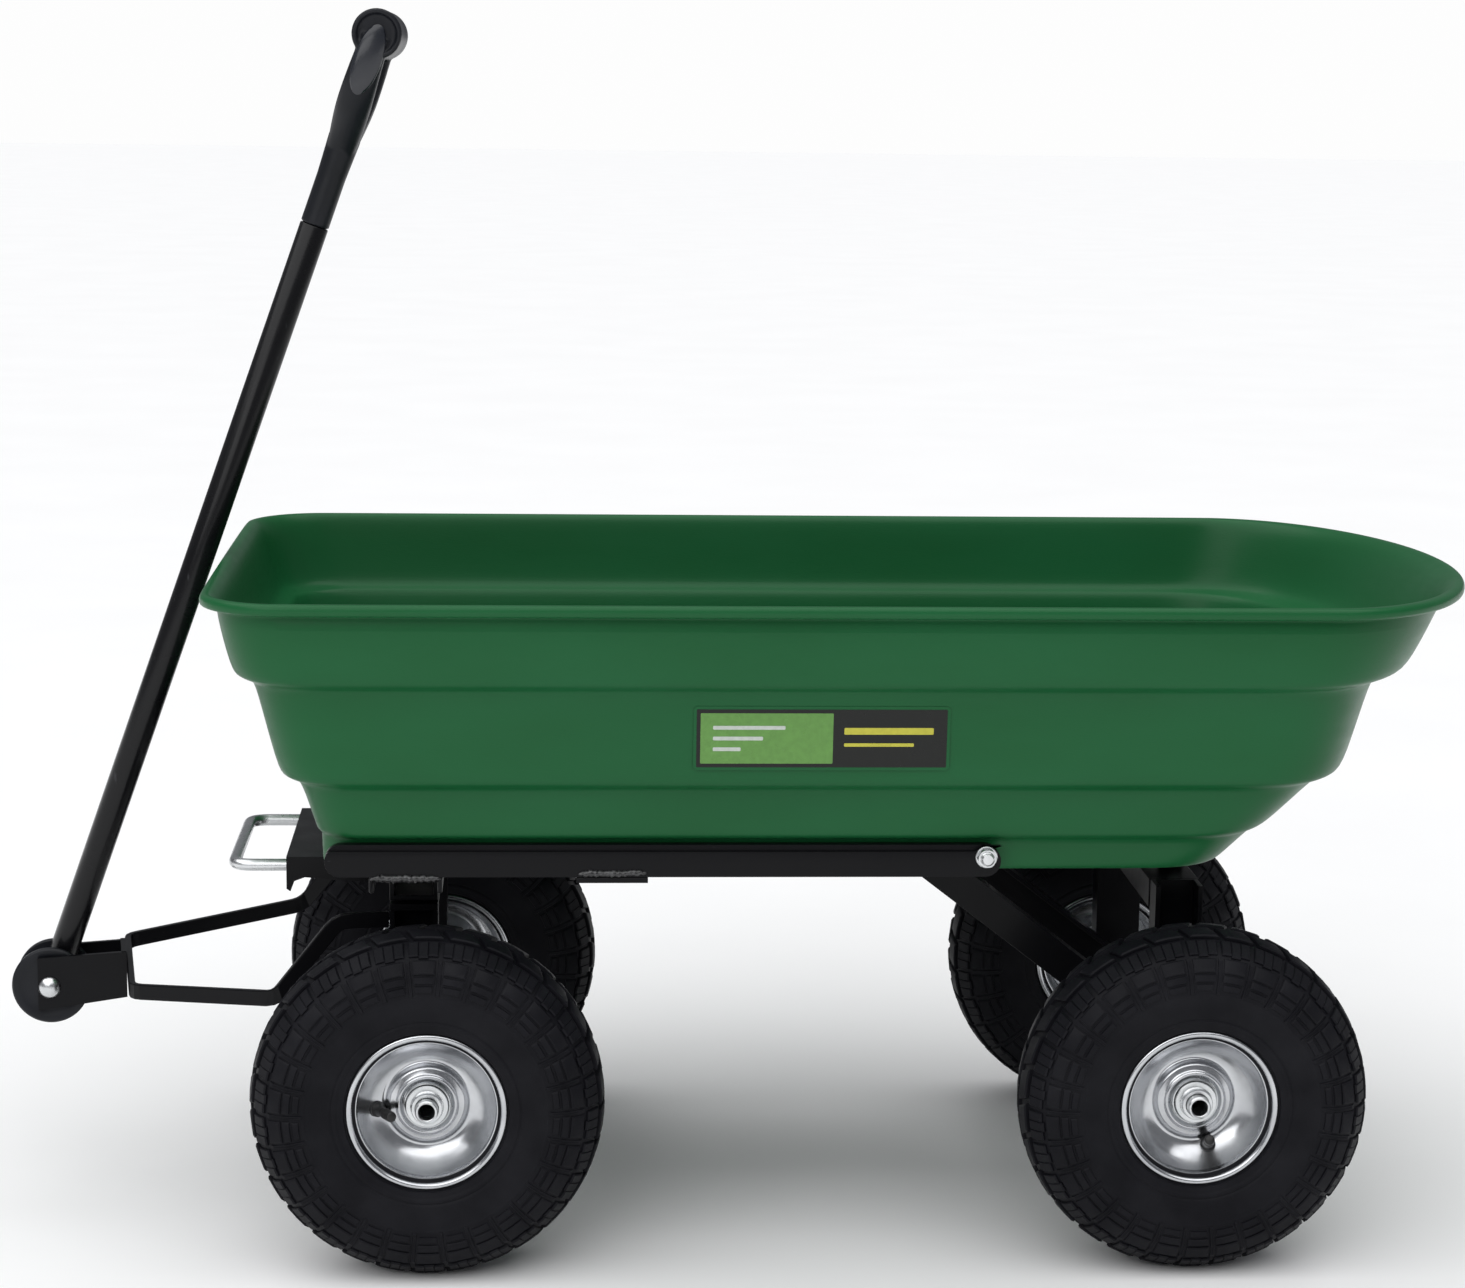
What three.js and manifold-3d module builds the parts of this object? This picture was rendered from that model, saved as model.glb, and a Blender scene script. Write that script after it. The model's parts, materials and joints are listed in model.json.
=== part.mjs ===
// A four-wheeled garden dump cart: a stepped poly tub that tips back on a steel chassis, a steered
// front axle with a drawbar, a pull handle with a D-grip, and four pneumatic wheels.
// Millimetres. +X points to the dump end and -X the way the cart is pulled, so -Y is its left side
// and +Y its right. +Z is up.
// The working frame has X = 0 halfway between the axles and the ground at Z = 0. The outermost
// group then shifts everything so that the origin is under the middle of the whole cart.
import * as THREE from "three";
import { mergeVertices } from "three/addons/utils/BufferGeometryUtils.js";
import Module from "manifold-3d";

const wasm = await Module();
wasm.setup();

// ---- Driving dimensions ----
const GAP = 0.3; // left between pieces that touch
const RUNNING = 0.4; // radial room round a pin or axle that something turns on

const AXLE_X = 283; // half the wheelbase
const WHEEL_R = 130;
const TYRE_WIDTH = 85;
const HALF_TRACK = 205; // wheel mid-plane from the centre line
const AXLE_R = 8.5;
const AXLE_BORE_R = 6;
const AXLE_REACH = 33; // axle end beyond the wheel's mid-plane
const FLANGE_R = 59; // rim flange
const FLANGE_Y = 34; // rim flange from the wheel's mid-plane
const BEAD_R = 50.8; // 4 inch bead seat

const TUB_WALL = 4;
const RIM_TOP = 503.5;
const FOOT_Z = 299; // underside of the tub's foot
const FLOOR_THICK = 4.5;

const RAIL = { x0: -357, x1: 135, y: 196.3, thick: 13.2, z0: 298, z1: 321 };
const FRONT_STRAP = { x0: -325, x1: -272, z0: 286 };
const MID_STRAP = { x0: -175, x1: -123, z0: 293.5 };

const TIP_AXIS = { x: 290, z: 284 };
const PIN_R = 5;
const PIN_HALF = 76;
const KINGPIN_X = -295.5;
const LATCH_AXIS = { x: -340, z: 272 };
const LATCH_PIN_R = 4;
const LATCH_PIN_HALF = 89;

const LEG_WIDTH = 36; // of the channel legs, along X
const LEG_Y = 112; // inner face of the channel's web
const LEG_DEPTH = 23;
const STEEL = 3.5; // plate thickness
const BEAM_TOP = 143; // top of the channels that hold the axles

const PIVOT = { x: -584, z: 163 };
const HANDLE_LEAN = THREE.MathUtils.degToRad(19.5);
const SHAFT_R = 11;
const SHAFT_WALL = 1.8;
const SHAFT_LENGTH = 629; // above the pivot
const SHAFT_BELOW = 14;
const GRIP_AT = 781; // grip bar from the pivot
const PIVOT_DISC_R = 30;
const PIVOT_BOLT = { r: 5, headR: 9, nutR: 8, nutThick: 7 };

// ---- Materials ----
const paint = (color, roughness, metalness) =>
  new THREE.MeshStandardMaterial({ color, roughness, metalness });
const GREEN_POLY = paint(0x1f6b3d, 0.35, 0);
const BLACK_STEEL = paint(0x0c0c0e, 0.4, 0.3);
const ZINC = paint(0xb9bcc0, 0.3, 0.9);
const RIM_STEEL = paint(0xc3c6c9, 0.25, 0.9);
const TYRE_RUBBER = paint(0x141416, 0.85, 0);
const VALVE_RUBBER = paint(0x0a0a0a, 0.6, 0);
const BLACK_PLASTIC = paint(0x17181b, 0.45, 0);
const LABEL_FILM = paint(0x101510, 0.3, 0);

// ---- Solids and meshes ----
// A closed geometry as a solid, with its shared vertices merged and flat triangles dropped.
function solidOf(geometry) {
  const bare = geometry.index ? geometry.toNonIndexed() : geometry.clone();
  bare.deleteAttribute("normal");
  bare.deleteAttribute("uv");
  const merged = mergeVertices(bare, 1e-4);
  const index = merged.index.array;
  const kept = [];
  for (let i = 0; i < index.length; i += 3) {
    const [a, b, c] = [index[i], index[i + 1], index[i + 2]];
    if (a !== b && b !== c && a !== c) kept.push(a, b, c);
  }
  return new wasm.Manifold(
    new wasm.Mesh({
      numProp: 3,
      vertProperties: merged.attributes.position.array,
      triVerts: new Uint32Array(kept),
    }),
  );
}

function geometryOf(solid) {
  const mesh = solid.getMesh();
  return new THREE.BufferGeometry()
    .setAttribute("position", new THREE.BufferAttribute(new Float32Array(mesh.vertProperties), 3))
    .setIndex(new THREE.BufferAttribute(new Uint32Array(mesh.triVerts), 1));
}

function join(...geometries) {
  return geometryOf(geometries.map(solidOf).reduce((sum, next) => sum.add(next)));
}

function cut(geometry, ...tools) {
  return geometryOf(tools.map(solidOf).reduce((left, tool) => left.subtract(tool), solidOf(geometry)));
}

function add(group, name, geometry, material) {
  const mesh = new THREE.Mesh(geometry, material);
  mesh.name = name;
  group.add(mesh);
  return mesh;
}

// ---- Shapes ----
// A span of Y on the right side (+1), or the same one mirrored to the left side (-1).
function onSide(side, from, to) {
  return side > 0 ? [from, to] : [-to, -from];
}

function box([x0, x1], [y0, y1], [z0, z1]) {
  return new THREE.BoxGeometry(x1 - x0, y1 - y0, z1 - z0).translate(
    (x0 + x1) / 2,
    (y0 + y1) / 2,
    (z0 + z1) / 2,
  );
}

// A round bar along Y.
function barY(radius, [y0, y1], x, z, sides = 24) {
  return new THREE.CylinderGeometry(radius, radius, y1 - y0, sides).translate(x, (y0 + y1) / 2, z);
}

// A round bar along Z.
function barZ(radius, [z0, z1], x, y, sides = 24) {
  return new THREE.CylinderGeometry(radius, radius, z1 - z0, sides)
    .rotateX(Math.PI / 2)
    .translate(x, y, (z0 + z1) / 2);
}

// A flat outline of [x, z] points, made thick from y0 to y1.
function plateXZ(points, [y0, y1]) {
  const shape = new THREE.Shape(points.map(([x, z]) => new THREE.Vector2(x, z)));
  return new THREE.ExtrudeGeometry(shape, { depth: y1 - y0, bevelEnabled: false })
    .rotateX(Math.PI / 2)
    .translate(0, y1, 0);
}

// A ring or disc turned about the Y axis from a closed profile of [radius, y] points.
function turned(profile, segments) {
  const area = profile.reduce((sum, [r, y], i) => {
    const [r2, y2] = profile[(i + 1) % profile.length];
    return sum + r * y2 - r2 * y;
  }, 0);
  const ordered = area > 0 ? profile : [...profile].reverse();
  const points = [...ordered, ordered[0]].map(([r, y]) => new THREE.Vector2(r, y));
  return new THREE.LatheGeometry(points, segments);
}

// A polyline whose corners are rounded by short arcs.
function roundedPath(points, radius, steps = 4) {
  const path = [points[0]];
  for (let i = 1; i < points.length - 1; i += 1) {
    const before = points[i - 1].clone().sub(points[i]).normalize();
    const after = points[i + 1].clone().sub(points[i]).normalize();
    const start = points[i].clone().addScaledVector(before, radius);
    const end = points[i].clone().addScaledVector(after, radius);
    const bend = new THREE.QuadraticBezierCurve3(start, points[i], end);
    path.push(...bend.getPoints(steps));
  }
  path.push(points[points.length - 1]);
  return path;
}

// Walls between matching rings of points, closed by a fan at each end.
function loft(rings) {
  const count = rings[0].length;
  const positions = rings.flat().flatMap((p) => p.toArray());
  const index = [];
  for (let r = 0; r < rings.length - 1; r += 1) {
    for (let i = 0; i < count; i += 1) {
      const next = (i + 1) % count;
      const [a, b] = [r * count + i, r * count + next];
      const [c, d] = [(r + 1) * count + i, (r + 1) * count + next];
      index.push(a, b, d, a, d, c);
    }
  }
  const fan = (ring, turn) => {
    const centre = ring.reduce((sum, p) => sum.add(p), new THREE.Vector3()).divideScalar(count);
    const hub = positions.length / 3;
    positions.push(...centre.toArray());
    const first = rings.indexOf(ring) * count;
    for (let i = 0; i < count; i += 1) {
      const [a, b] = [first + i, first + ((i + 1) % count)];
      index.push(hub, ...(turn ? [a, b] : [b, a]));
    }
  };
  fan(rings[0], false);
  fan(rings[rings.length - 1], true);
  return new THREE.BufferGeometry()
    .setAttribute("position", new THREE.Float32BufferAttribute(positions, 3))
    .setIndex(index);
}

// A flat bar along a path. Its height stays in the upright plane of the path.
function flatBar(path, thickness, height) {
  const up = new THREE.Vector3(0, 0, 1);
  const rings = path.map((point, i) => {
    const ahead = path[Math.min(i + 1, path.length - 1)];
    const behind = path[Math.max(i - 1, 0)];
    const along = ahead.clone().sub(behind).normalize();
    const side = along.clone().cross(up).normalize();
    const top = side.clone().cross(along).normalize();
    return [[1, 1], [-1, 1], [-1, -1], [1, -1]].map(([s, t]) =>
      point
        .clone()
        .addScaledVector(side, (s * thickness) / 2)
        .addScaledVector(top, (t * height) / 2),
    );
  });
  return outward(loft(rings));
}

// A round rod along a path.
function rod(path, radius, sides = 8) {
  const section = new THREE.Shape().absarc(0, 0, radius, 0, 2 * Math.PI);
  return new THREE.ExtrudeGeometry(new THREE.Shape(section.getSpacedPoints(sides).slice(0, sides)), {
    steps: path.length,
    extrudePath: new THREE.CatmullRomCurve3(path, false, "centripetal"),
    bevelEnabled: false,
  });
}

// The same closed geometry with its faces turned to point out.
function outward(geometry) {
  const solid = solidOf(geometry);
  if (solid.volume() > 0) return geometry;
  const index = geometry.index.array;
  for (let i = 0; i < index.length; i += 3) [index[i + 1], index[i + 2]] = [index[i + 2], index[i + 1]];
  return geometry;
}

// ---- Tub ----
// Each level is an outline at one height: front and rear ends, half width, how far the rear
// rounding reaches, and how square it is (2 is an ellipse). The front corners are arcs.
const LEVELS = [
  { z: FOOT_Z, front: -361, rear: 326, half: 193, round: 90, square: 3.2, corner: 26 },
  { z: 323, front: -361, rear: 348, half: 195.5, round: 92, square: 3.2, corner: 28 },
  { z: 324.5, front: -362, rear: 350, half: 200, round: 94, square: 3.2, corner: 32 },
  { z: 327, front: -364, rear: 354, half: 204.5, round: 95, square: 3.2, corner: 34 },
  { z: 331, front: -366, rear: 361, half: 205.5, round: 96, square: 3.2, corner: 36 },
  { z: 363, front: -376, rear: 394, half: 209.5, round: 100, square: 3.1, corner: 38 },
  { z: 365, front: -380, rear: 398, half: 214, round: 102, square: 3.1, corner: 42 },
  { z: 368, front: -388, rear: 408, half: 219.5, round: 104, square: 3, corner: 46 },
  { z: 373, front: -393, rear: 414, half: 221.5, round: 106, square: 3, corner: 48 },
  { z: 437, front: -408, rear: 433, half: 226.5, round: 116, square: 2.8, corner: 50 },
  { z: 439.5, front: -411, rear: 440, half: 230, round: 120, square: 2.7, corner: 52 },
  { z: 443, front: -420, rear: 458, half: 235.5, round: 128, square: 2.5, corner: 54 },
  { z: 448, front: -425, rear: 468, half: 237.5, round: 132, square: 2.4, corner: 56 },
  { z: 490, front: -435, rear: 494, half: 241, round: 140, square: 2.1, corner: 58 },
  { z: 494, front: -440, rear: 501, half: 244, round: 142, square: 2, corner: 60 },
];
const LIP = { front: -447, rear: 513, half: 249, round: 143, square: 2, corner: 64 };
const REAR_STEPS = 16;
const CORNER_STEPS = 5;
const SIDE_STEPS = 3;

// The outline of a level as a ring of points, anticlockwise seen from above.
function outline({ front, rear, half, round, square, corner }, z) {
  const straightEnd = rear - round;
  const points = [];
  for (let i = 0; i <= REAR_STEPS; i += 1) {
    const turn = Math.PI * (i / REAR_STEPS - 0.5);
    const reach = Math.abs(Math.cos(turn)) ** (2 / square);
    const across = Math.sign(turn) * Math.abs(Math.sin(turn)) ** (2 / square);
    points.push([straightEnd + round * reach, half * across]);
  }
  const sideLength = straightEnd - front - corner;
  for (let i = 1; i <= SIDE_STEPS; i += 1) points.push([straightEnd - (sideLength * i) / (SIDE_STEPS + 1), half]);
  for (const side of [1, -1]) {
    for (let i = 0; i <= CORNER_STEPS; i += 1) {
      const turn = (Math.PI / 2) * (side > 0 ? i / CORNER_STEPS : 1 - i / CORNER_STEPS);
      points.push([
        front + corner * (1 - Math.sin(turn)),
        side * (half - corner * (1 - Math.cos(turn))),
      ]);
    }
  }
  for (let i = SIDE_STEPS; i >= 1; i -= 1) points.push([straightEnd - (sideLength * i) / (SIDE_STEPS + 1), -half]);
  return points.map(([x, y]) => new THREE.Vector3(x, y, z));
}

// The level moved in by a wall thickness.
function inset(level, by) {
  return {
    ...level,
    front: level.front + by,
    rear: level.rear - by,
    half: level.half - by,
    corner: Math.max(level.corner - by, 8),
  };
}

function tubGeometry() {
  const outer = LEVELS.map((level) => outline(level, level.z));
  const lip = [
    outline(LIP, 495),
    outline(LIP, RIM_TOP - 2.5),
    outline(inset(LIP, 3), RIM_TOP),
    outline(inset(LIP, 9), RIM_TOP),
  ];
  const rimInside = inset(LEVELS[LEVELS.length - 1], TUB_WALL + 3);
  const inner = [outline(rimInside, 492)];
  for (const level of LEVELS.slice(1, -1).reverse()) {
    inner.push(outline(inset(level, TUB_WALL), level.z + 2));
  }
  inner.push(outline(inset(LEVELS[0], TUB_WALL + 6), FOOT_Z + FLOOR_THICK));
  return outward(loft([...outer, ...lip, ...inner]));
}

// ---- Cradle: what is bolted to the tub and tips with it ----
const RAIL_END_STEPS = 8;
const RAIL_BOLT = { x: 124, z: 313, r: 3.5, headR: 7, washerR: 8, tipR: 4.6 };

function railGeometry(side) {
  const { x0, x1, z0, z1, y, thick } = RAIL;
  const middle = (z0 + z1) / 2;
  const radius = (z1 - z0) / 2;
  const end = (x, from) =>
    Array.from({ length: RAIL_END_STEPS + 1 }, (_, i) => {
      const turn = from + (Math.PI * i) / RAIL_END_STEPS;
      return [x + radius * Math.cos(turn), middle + radius * Math.sin(turn)];
    });
  const points = [...end(x1 - radius, -Math.PI / 2), ...end(x0 + radius, Math.PI / 2)];
  const faces = onSide(side, y, y + thick);
  const bar = plateXZ(points, faces);
  return cut(bar, barY(RAIL_BOLT.r + GAP, [faces[0] - 1, faces[1] + 1], RAIL_BOLT.x, RAIL_BOLT.z, 16));
}

// Bolt, washer and nut as they sit, from outside the rail to just short of the tub's foot.
function railBoltGeometry(side) {
  const face = RAIL.y + RAIL.thick + GAP;
  const span = (from, to) => onSide(side, from, to);
  const { x, z, r, headR, washerR, tipR } = RAIL_BOLT;
  return join(
    barY(washerR, span(face, face + 1.6), x, z, 20),
    barY(headR, span(face + 1.2, face + 8), x, z, 6),
    barY(tipR, span(face + 7.5, face + 10), x, z, 16),
    barY(r, span(RAIL.y + GAP, face + 1.4), x, z, 16),
  );
}

function frontStrapGeometry() {
  const { x0, x1, z0 } = FRONT_STRAP;
  const reach = [-(RAIL.y + RAIL.thick), RAIL.y + RAIL.thick];
  const top = RAIL.z0 - GAP;
  return join(
    box([x0, x1], reach, [top - STEEL, top]),
    box([x0, x0 + STEEL], reach, [z0, top]),
    box([x1 - STEEL, x1], reach, [z0, top]),
  );
}

function midStrapGeometry() {
  const { x0, x1, z0 } = MID_STRAP;
  const reach = [-(RAIL.y + RAIL.thick), RAIL.y + RAIL.thick];
  return box([x0, x1], reach, [z0, RAIL.z0 - GAP]);
}

// Plate under the rear of the foot with two ears that the tip pin passes through.
const HINGE_PLATE = { x0: 238, x1: 318, half: 90, earY: 66, earR: 9 };
function hingePlateGeometry() {
  const { x0, x1, half, earY, earR } = HINGE_PLATE;
  const top = FOOT_Z - GAP;
  const ears = [-1, 1].map((side) =>
    pinEar(earR, onSide(side, earY, earY + STEEL), [TIP_AXIS.z, top - 1], PIN_R + RUNNING),
  );
  return join(box([x0, x1], [-half, half], [top - STEEL, top]), ...ears);
}

// An ear with a round end about the tip pin, and a hole for the pin.
function pinEar(radius, faces, heights, holeR) {
  const { x, z } = TIP_AXIS;
  const ear = join(box([x - radius, x + radius], faces, heights), barY(radius, faces, x, z, 20));
  return cut(ear, barY(holeR, [faces[0] - 1, faces[1] + 1], x, z, 20));
}

// Two ears that reach forward from the front strap and hold the latch pin.
const LATCH_EAR = { y: 68, r: 8 };
function latchBracketGeometry() {
  const { x, z } = LATCH_AXIS;
  const outer = LATCH_EAR.y + STEEL;
  const back = FRONT_STRAP.x0 - GAP;
  const plate = box([back - STEEL, back], [-outer, outer], [FRONT_STRAP.z0 + 1, RAIL.z0 - GAP]);
  const web = [
    [x - LATCH_EAR.r, z],
    [x + 6, z - 5],
    [back - 1, FRONT_STRAP.z0 + 2],
    [back - 1, RAIL.z0 - 1],
    [x - 2, z + 15],
  ];
  const ears = [-1, 1].map((side) => {
    const faces = onSide(side, LATCH_EAR.y, outer);
    return join(barY(LATCH_EAR.r, faces, x, z, 18), plateXZ(web, faces));
  });
  return cut(join(plate, ...ears), barY(LATCH_PIN_R + GAP, [-outer - 1, outer + 1], x, z, 16));
}

// ---- Latch: the release lever in front of the tub ----
const LEVER = { x0: -394, x1: -330, half: 84, top: 283, deckBack: -354, thick: 3 };
const NOSE = { x0: -352, half: 28, bottom: 263.5 };
function latchPlateGeometry() {
  const { x0, x1, half, top, deckBack, thick } = LEVER;
  const deck = box([x0, deckBack], [-half, half], [top - thick, top]);
  const cheek = [
    [x0, top],
    [x0, 258],
    [x0 + 3, 256],
    [x0 + 6, 264],
    [x0 + 14, 267],
    [x1, 263],
    [x1, 280],
    [x1 - 12, top],
  ];
  const cheeks = [-1, 1].map((side) => plateXZ(cheek, onSide(side, half - thick, half)));
  const width = [-NOSE.half, NOSE.half];
  const nose = join(
    box([deckBack - thick, NOSE.x0 + thick], width, [top - thick, top]),
    box([NOSE.x0, NOSE.x0 + thick], width, [NOSE.bottom, top]),
    box([NOSE.x0, x1], width, [NOSE.bottom, NOSE.bottom + thick]),
  );
  return cut(
    join(deck, ...cheeks, nose),
    barY(LATCH_PIN_R + RUNNING, [-half - 1, half + 1], LATCH_AXIS.x, LATCH_AXIS.z, 16),
  );
}

const BAIL = { half: 76, front: -434, z: 275, r: 4.7 };
function bailGeometry() {
  const { half, front, z, r } = BAIL;
  const back = LEVER.x0 + 14;
  const corners = [
    new THREE.Vector3(back, -half, z),
    new THREE.Vector3(front, -half, z),
    new THREE.Vector3(front, half, z),
    new THREE.Vector3(back, half, z),
  ];
  return rod(roundedPath(corners, 14, 5), r);
}

// ---- Chassis ----
const SPINE = { half: 20, z0: 262, z1: 285, wall: 2.5 };
const CROSSBEAM = { half: 135, z0: 262, z1: 285.5 };
const LEG_TOP = 272;

// An upward-open channel across the front that the kingpin hangs from.
function frontCrossbeamGeometry() {
  const [x0, x1] = [KINGPIN_X - LEG_WIDTH / 2, KINGPIN_X + LEG_WIDTH / 2];
  const reach = [-CROSSBEAM.half, CROSSBEAM.half];
  const { z0, z1 } = CROSSBEAM;
  const channel = join(
    box([x0, x1], reach, [z0, z0 + STEEL]),
    box([x0, x0 + STEEL], reach, [z0, z1]),
    box([x1 - STEEL, x1], reach, [z0, z1]),
  );
  return cut(channel, barZ(KINGPIN_R + RUNNING, [z0 - 1, z0 + 6], KINGPIN_X, 0));
}

// A square tube from the front crossbeam to the rear one.
function spineGeometry() {
  const { half, z0, z1, wall } = SPINE;
  const ends = [KINGPIN_X + LEG_WIDTH / 2 + GAP, AXLE_X - REAR_BEAM.half - GAP];
  return cut(
    box(ends, [-half, half], [z0, z1]),
    box([ends[0] - 1, ends[1] + 1], [-half + wall, half - wall], [z0 + wall, z1 - wall]),
  );
}

// A downward-open channel across the rear, with two ears for the tip pin.
const REAR_BEAM = { half: 19, depth: 22, earY: 58, earThick: 7.5, earR: 9 };
function rearCrossbeamGeometry() {
  const { half, depth, earY, earThick, earR } = REAR_BEAM;
  const [x0, x1] = [AXLE_X - half, AXLE_X + half];
  const reach = [-LEG_Y + GAP, LEG_Y - GAP];
  const [z0, z1] = [LEG_TOP - depth, LEG_TOP];
  const ears = [-1, 1].map((side) =>
    pinEar(earR, onSide(side, earY, earY + earThick), [z1 - 1, TIP_AXIS.z], PIN_R + GAP),
  );
  return join(
    box([x0, x1], reach, [z1 - STEEL, z1]),
    box([x0, x0 + STEEL], reach, [z0, z1]),
    box([x1 - STEEL, x1], reach, [z0, z1]),
    ...ears,
  );
}

// A channel leg with its flanges pointing away from the centre line.
function legGeometry(side, centreX, [z0, z1]) {
  const [x0, x1] = [centreX - LEG_WIDTH / 2, centreX + LEG_WIDTH / 2];
  const span = (from, to) => onSide(side, from, to);
  return join(
    box([x0, x1], span(LEG_Y, LEG_Y + STEEL), [z0, z1]),
    box([x0, x0 + STEEL], span(LEG_Y, LEG_Y + LEG_DEPTH), [z0, z1]),
    box([x1 - STEEL, x1], span(LEG_Y, LEG_Y + LEG_DEPTH), [z0, z1]),
  );
}

// A downward-open channel over an axle.
function axleBeamGeometry(centreX) {
  const [x0, x1] = [centreX - 15, centreX + 15];
  const reach = [-(LEG_Y + LEG_DEPTH), LEG_Y + LEG_DEPTH];
  const z0 = WHEEL_R - AXLE_R - 2;
  return join(
    box([x0, x1], reach, [BEAM_TOP - STEEL, BEAM_TOP]),
    box([x0, x0 + STEEL], reach, [z0, BEAM_TOP]),
    box([x1 - STEEL, x1], reach, [z0, BEAM_TOP]),
  );
}

function axleGeometry() {
  const reach = HALF_TRACK + AXLE_REACH;
  return turned([[AXLE_BORE_R, -reach], [AXLE_R, -reach], [AXLE_R, reach], [AXLE_BORE_R, reach]], 16);
}

// An angle bar that slopes from the rear axle up and forward to the brace crossbar.
const BRACE = { low: [268, 152], high: [96, 284], width: 25, depth: 20, outer: 111.5 };
const BRACE_BAR = { x0: 72, x1: 108, z0: 285.3, z1: 297.3, half: 122 };
function braceGeometry(side) {
  const [x0, z0] = BRACE.low;
  const [x1, z1] = BRACE.high;
  const length = Math.hypot(x1 - x0, z1 - z0);
  const across = [((z1 - z0) / length) * (BRACE.width / 2), (-(x1 - x0) / length) * (BRACE.width / 2)];
  const corner = (x, z, s) => [x + s * across[0], z + s * across[1]];
  const flat = [corner(x0, z0, -1), corner(x1, z1, -1), corner(x1, z1, 1), corner(x0, z0, 1)];
  const lip = 1 - (2 * STEEL) / BRACE.width;
  const edge = [corner(x0, z0, lip), corner(x1, z1, lip), corner(x1, z1, 1), corner(x0, z0, 1)];
  const span = (from, to) => onSide(side, from, to);
  const bar = join(
    plateXZ(flat, span(BRACE.outer - STEEL, BRACE.outer)),
    plateXZ(edge, span(BRACE.outer - BRACE.depth, BRACE.outer)),
  );
  const above = box([0, 200], [-200, 200], [BRACE_BAR.z0 - GAP, 330]);
  return cut(bar, above, box([200, 320], [-200, 200], [100, BEAM_TOP + GAP]));
}

const KINGPIN_R = 8;
function kingpinGeometry() {
  const web = CROSSBEAM.z0 + STEEL + GAP;
  return join(
    barZ(KINGPIN_R, [STEER.nutZ, web + 1], KINGPIN_X, 0),
    barZ(14, [web, web + 9], KINGPIN_X, 0, 6),
    barZ(14, [STEER.nutZ, STEER.plateZ - GAP], KINGPIN_X, 0, 6),
  );
}

// ---- Steered front axle ----
const STEER = { nutZ: 242, plateZ: 254, plateTop: 259, discTop: 261.7 };
function steeringPlateGeometry() {
  const reach = LEG_Y + LEG_DEPTH;
  const [x0, x1] = [KINGPIN_X - LEG_WIDTH / 2, KINGPIN_X + LEG_WIDTH / 2];
  const plate = join(
    box([x0, x1], [-reach, reach], [STEER.plateZ, STEER.plateTop]),
    barZ(36, [STEER.plateZ, STEER.plateTop], KINGPIN_X, 0, 32),
  );
  return cut(plate, barZ(KINGPIN_R + RUNNING, [240, 270], KINGPIN_X, 0));
}

function turntableDiscGeometry() {
  return cut(
    barZ(34, [STEER.plateTop + GAP, STEER.discTop], KINGPIN_X, 0, 32),
    barZ(KINGPIN_R + RUNNING, [240, 270], KINGPIN_X, 0),
  );
}

// The drawbar is one flat bar bent into a trapezoid, its rear ends kicked up to the steering
// plate. Its front cross piece is set a little askew, with the right end further forward.
const DRAWBAR = { thick: 5, height: 12, frontX: -524, frontHalf: 75, skew: 11, frontZ: 175 };
function drawbarGeometry() {
  const { thick, height, frontX, frontHalf, skew, frontZ } = DRAWBAR;
  const end = KINGPIN_X - LEG_WIDTH / 2 - 1;
  const half = (side) => [
    new THREE.Vector3(end, side * 129, 246),
    new THREE.Vector3(-352, side * 134, 246),
    new THREE.Vector3(-398, side * 141, 188),
    new THREE.Vector3(frontX - side * skew, side * frontHalf, frontZ),
  ];
  const corners = [...half(-1), ...half(1).reverse()];
  return flatBar(roundedPath(corners, 9, 3), thick, height);
}

// Two cheek plates joined by a back web that lies along the front of the drawbar.
const CLEVIS = { inner: 17, thick: 4, front: -593, back: -505, z0: 158, z1: 193 };
function clevisGeometry() {
  const { inner, thick, front, back, z0, z1 } = CLEVIS;
  const cheek = [
    [front, z0 - 14],
    [back, z0],
    [back, z1],
    [front, z1 - 7],
  ];
  const cheeks = [-1, 1].map((side) => plateXZ(cheek, onSide(side, inner, inner + thick)));
  const alongDrawbar = (geometry) =>
    geometry.rotateZ(Math.atan(DRAWBAR.skew / DRAWBAR.frontHalf)).translate(DRAWBAR.frontX, 0, 0);
  const face = -DRAWBAR.thick / 2 - GAP;
  const half = inner + thick - 1;
  const web = alongDrawbar(box([face - thick, face], [-half, half], [z0, z1 - 1]));
  const behind = alongDrawbar(box([face, 60], [-60, 60], [z0 - 20, z1 + 20]));
  const bolt = barY(PIVOT_BOLT.r + RUNNING, [-60, 60], PIVOT.x, PIVOT.z);
  return cut(join(...cheeks, web), behind, bolt);
}

// A dome-headed bolt through both cheeks.
function pivotBoltGeometry() {
  const { x, z } = PIVOT;
  const { r, headR, nutThick } = PIVOT_BOLT;
  const face = CLEVIS.inner + CLEVIS.thick + GAP;
  const ball = new THREE.SphereGeometry(headR, 16, 8).scale(1, 0.55, 1).translate(x, -face - 0.6, z);
  const dome = cut(ball, box([x - headR, x + headR], [-face, 20], [z - headR, z + headR]));
  return join(dome, barY(r, [-face - 1, face + nutThick + 2], x, z, 20));
}

function pivotNutGeometry() {
  const { r, nutR, nutThick } = PIVOT_BOLT;
  const face = CLEVIS.inner + CLEVIS.thick + GAP;
  return cut(
    barY(nutR, [face, face + nutThick], PIVOT.x, PIVOT.z, 6),
    barY(r + GAP, [face - 1, face + nutThick + 1], PIVOT.x, PIVOT.z, 20),
  );
}

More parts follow.
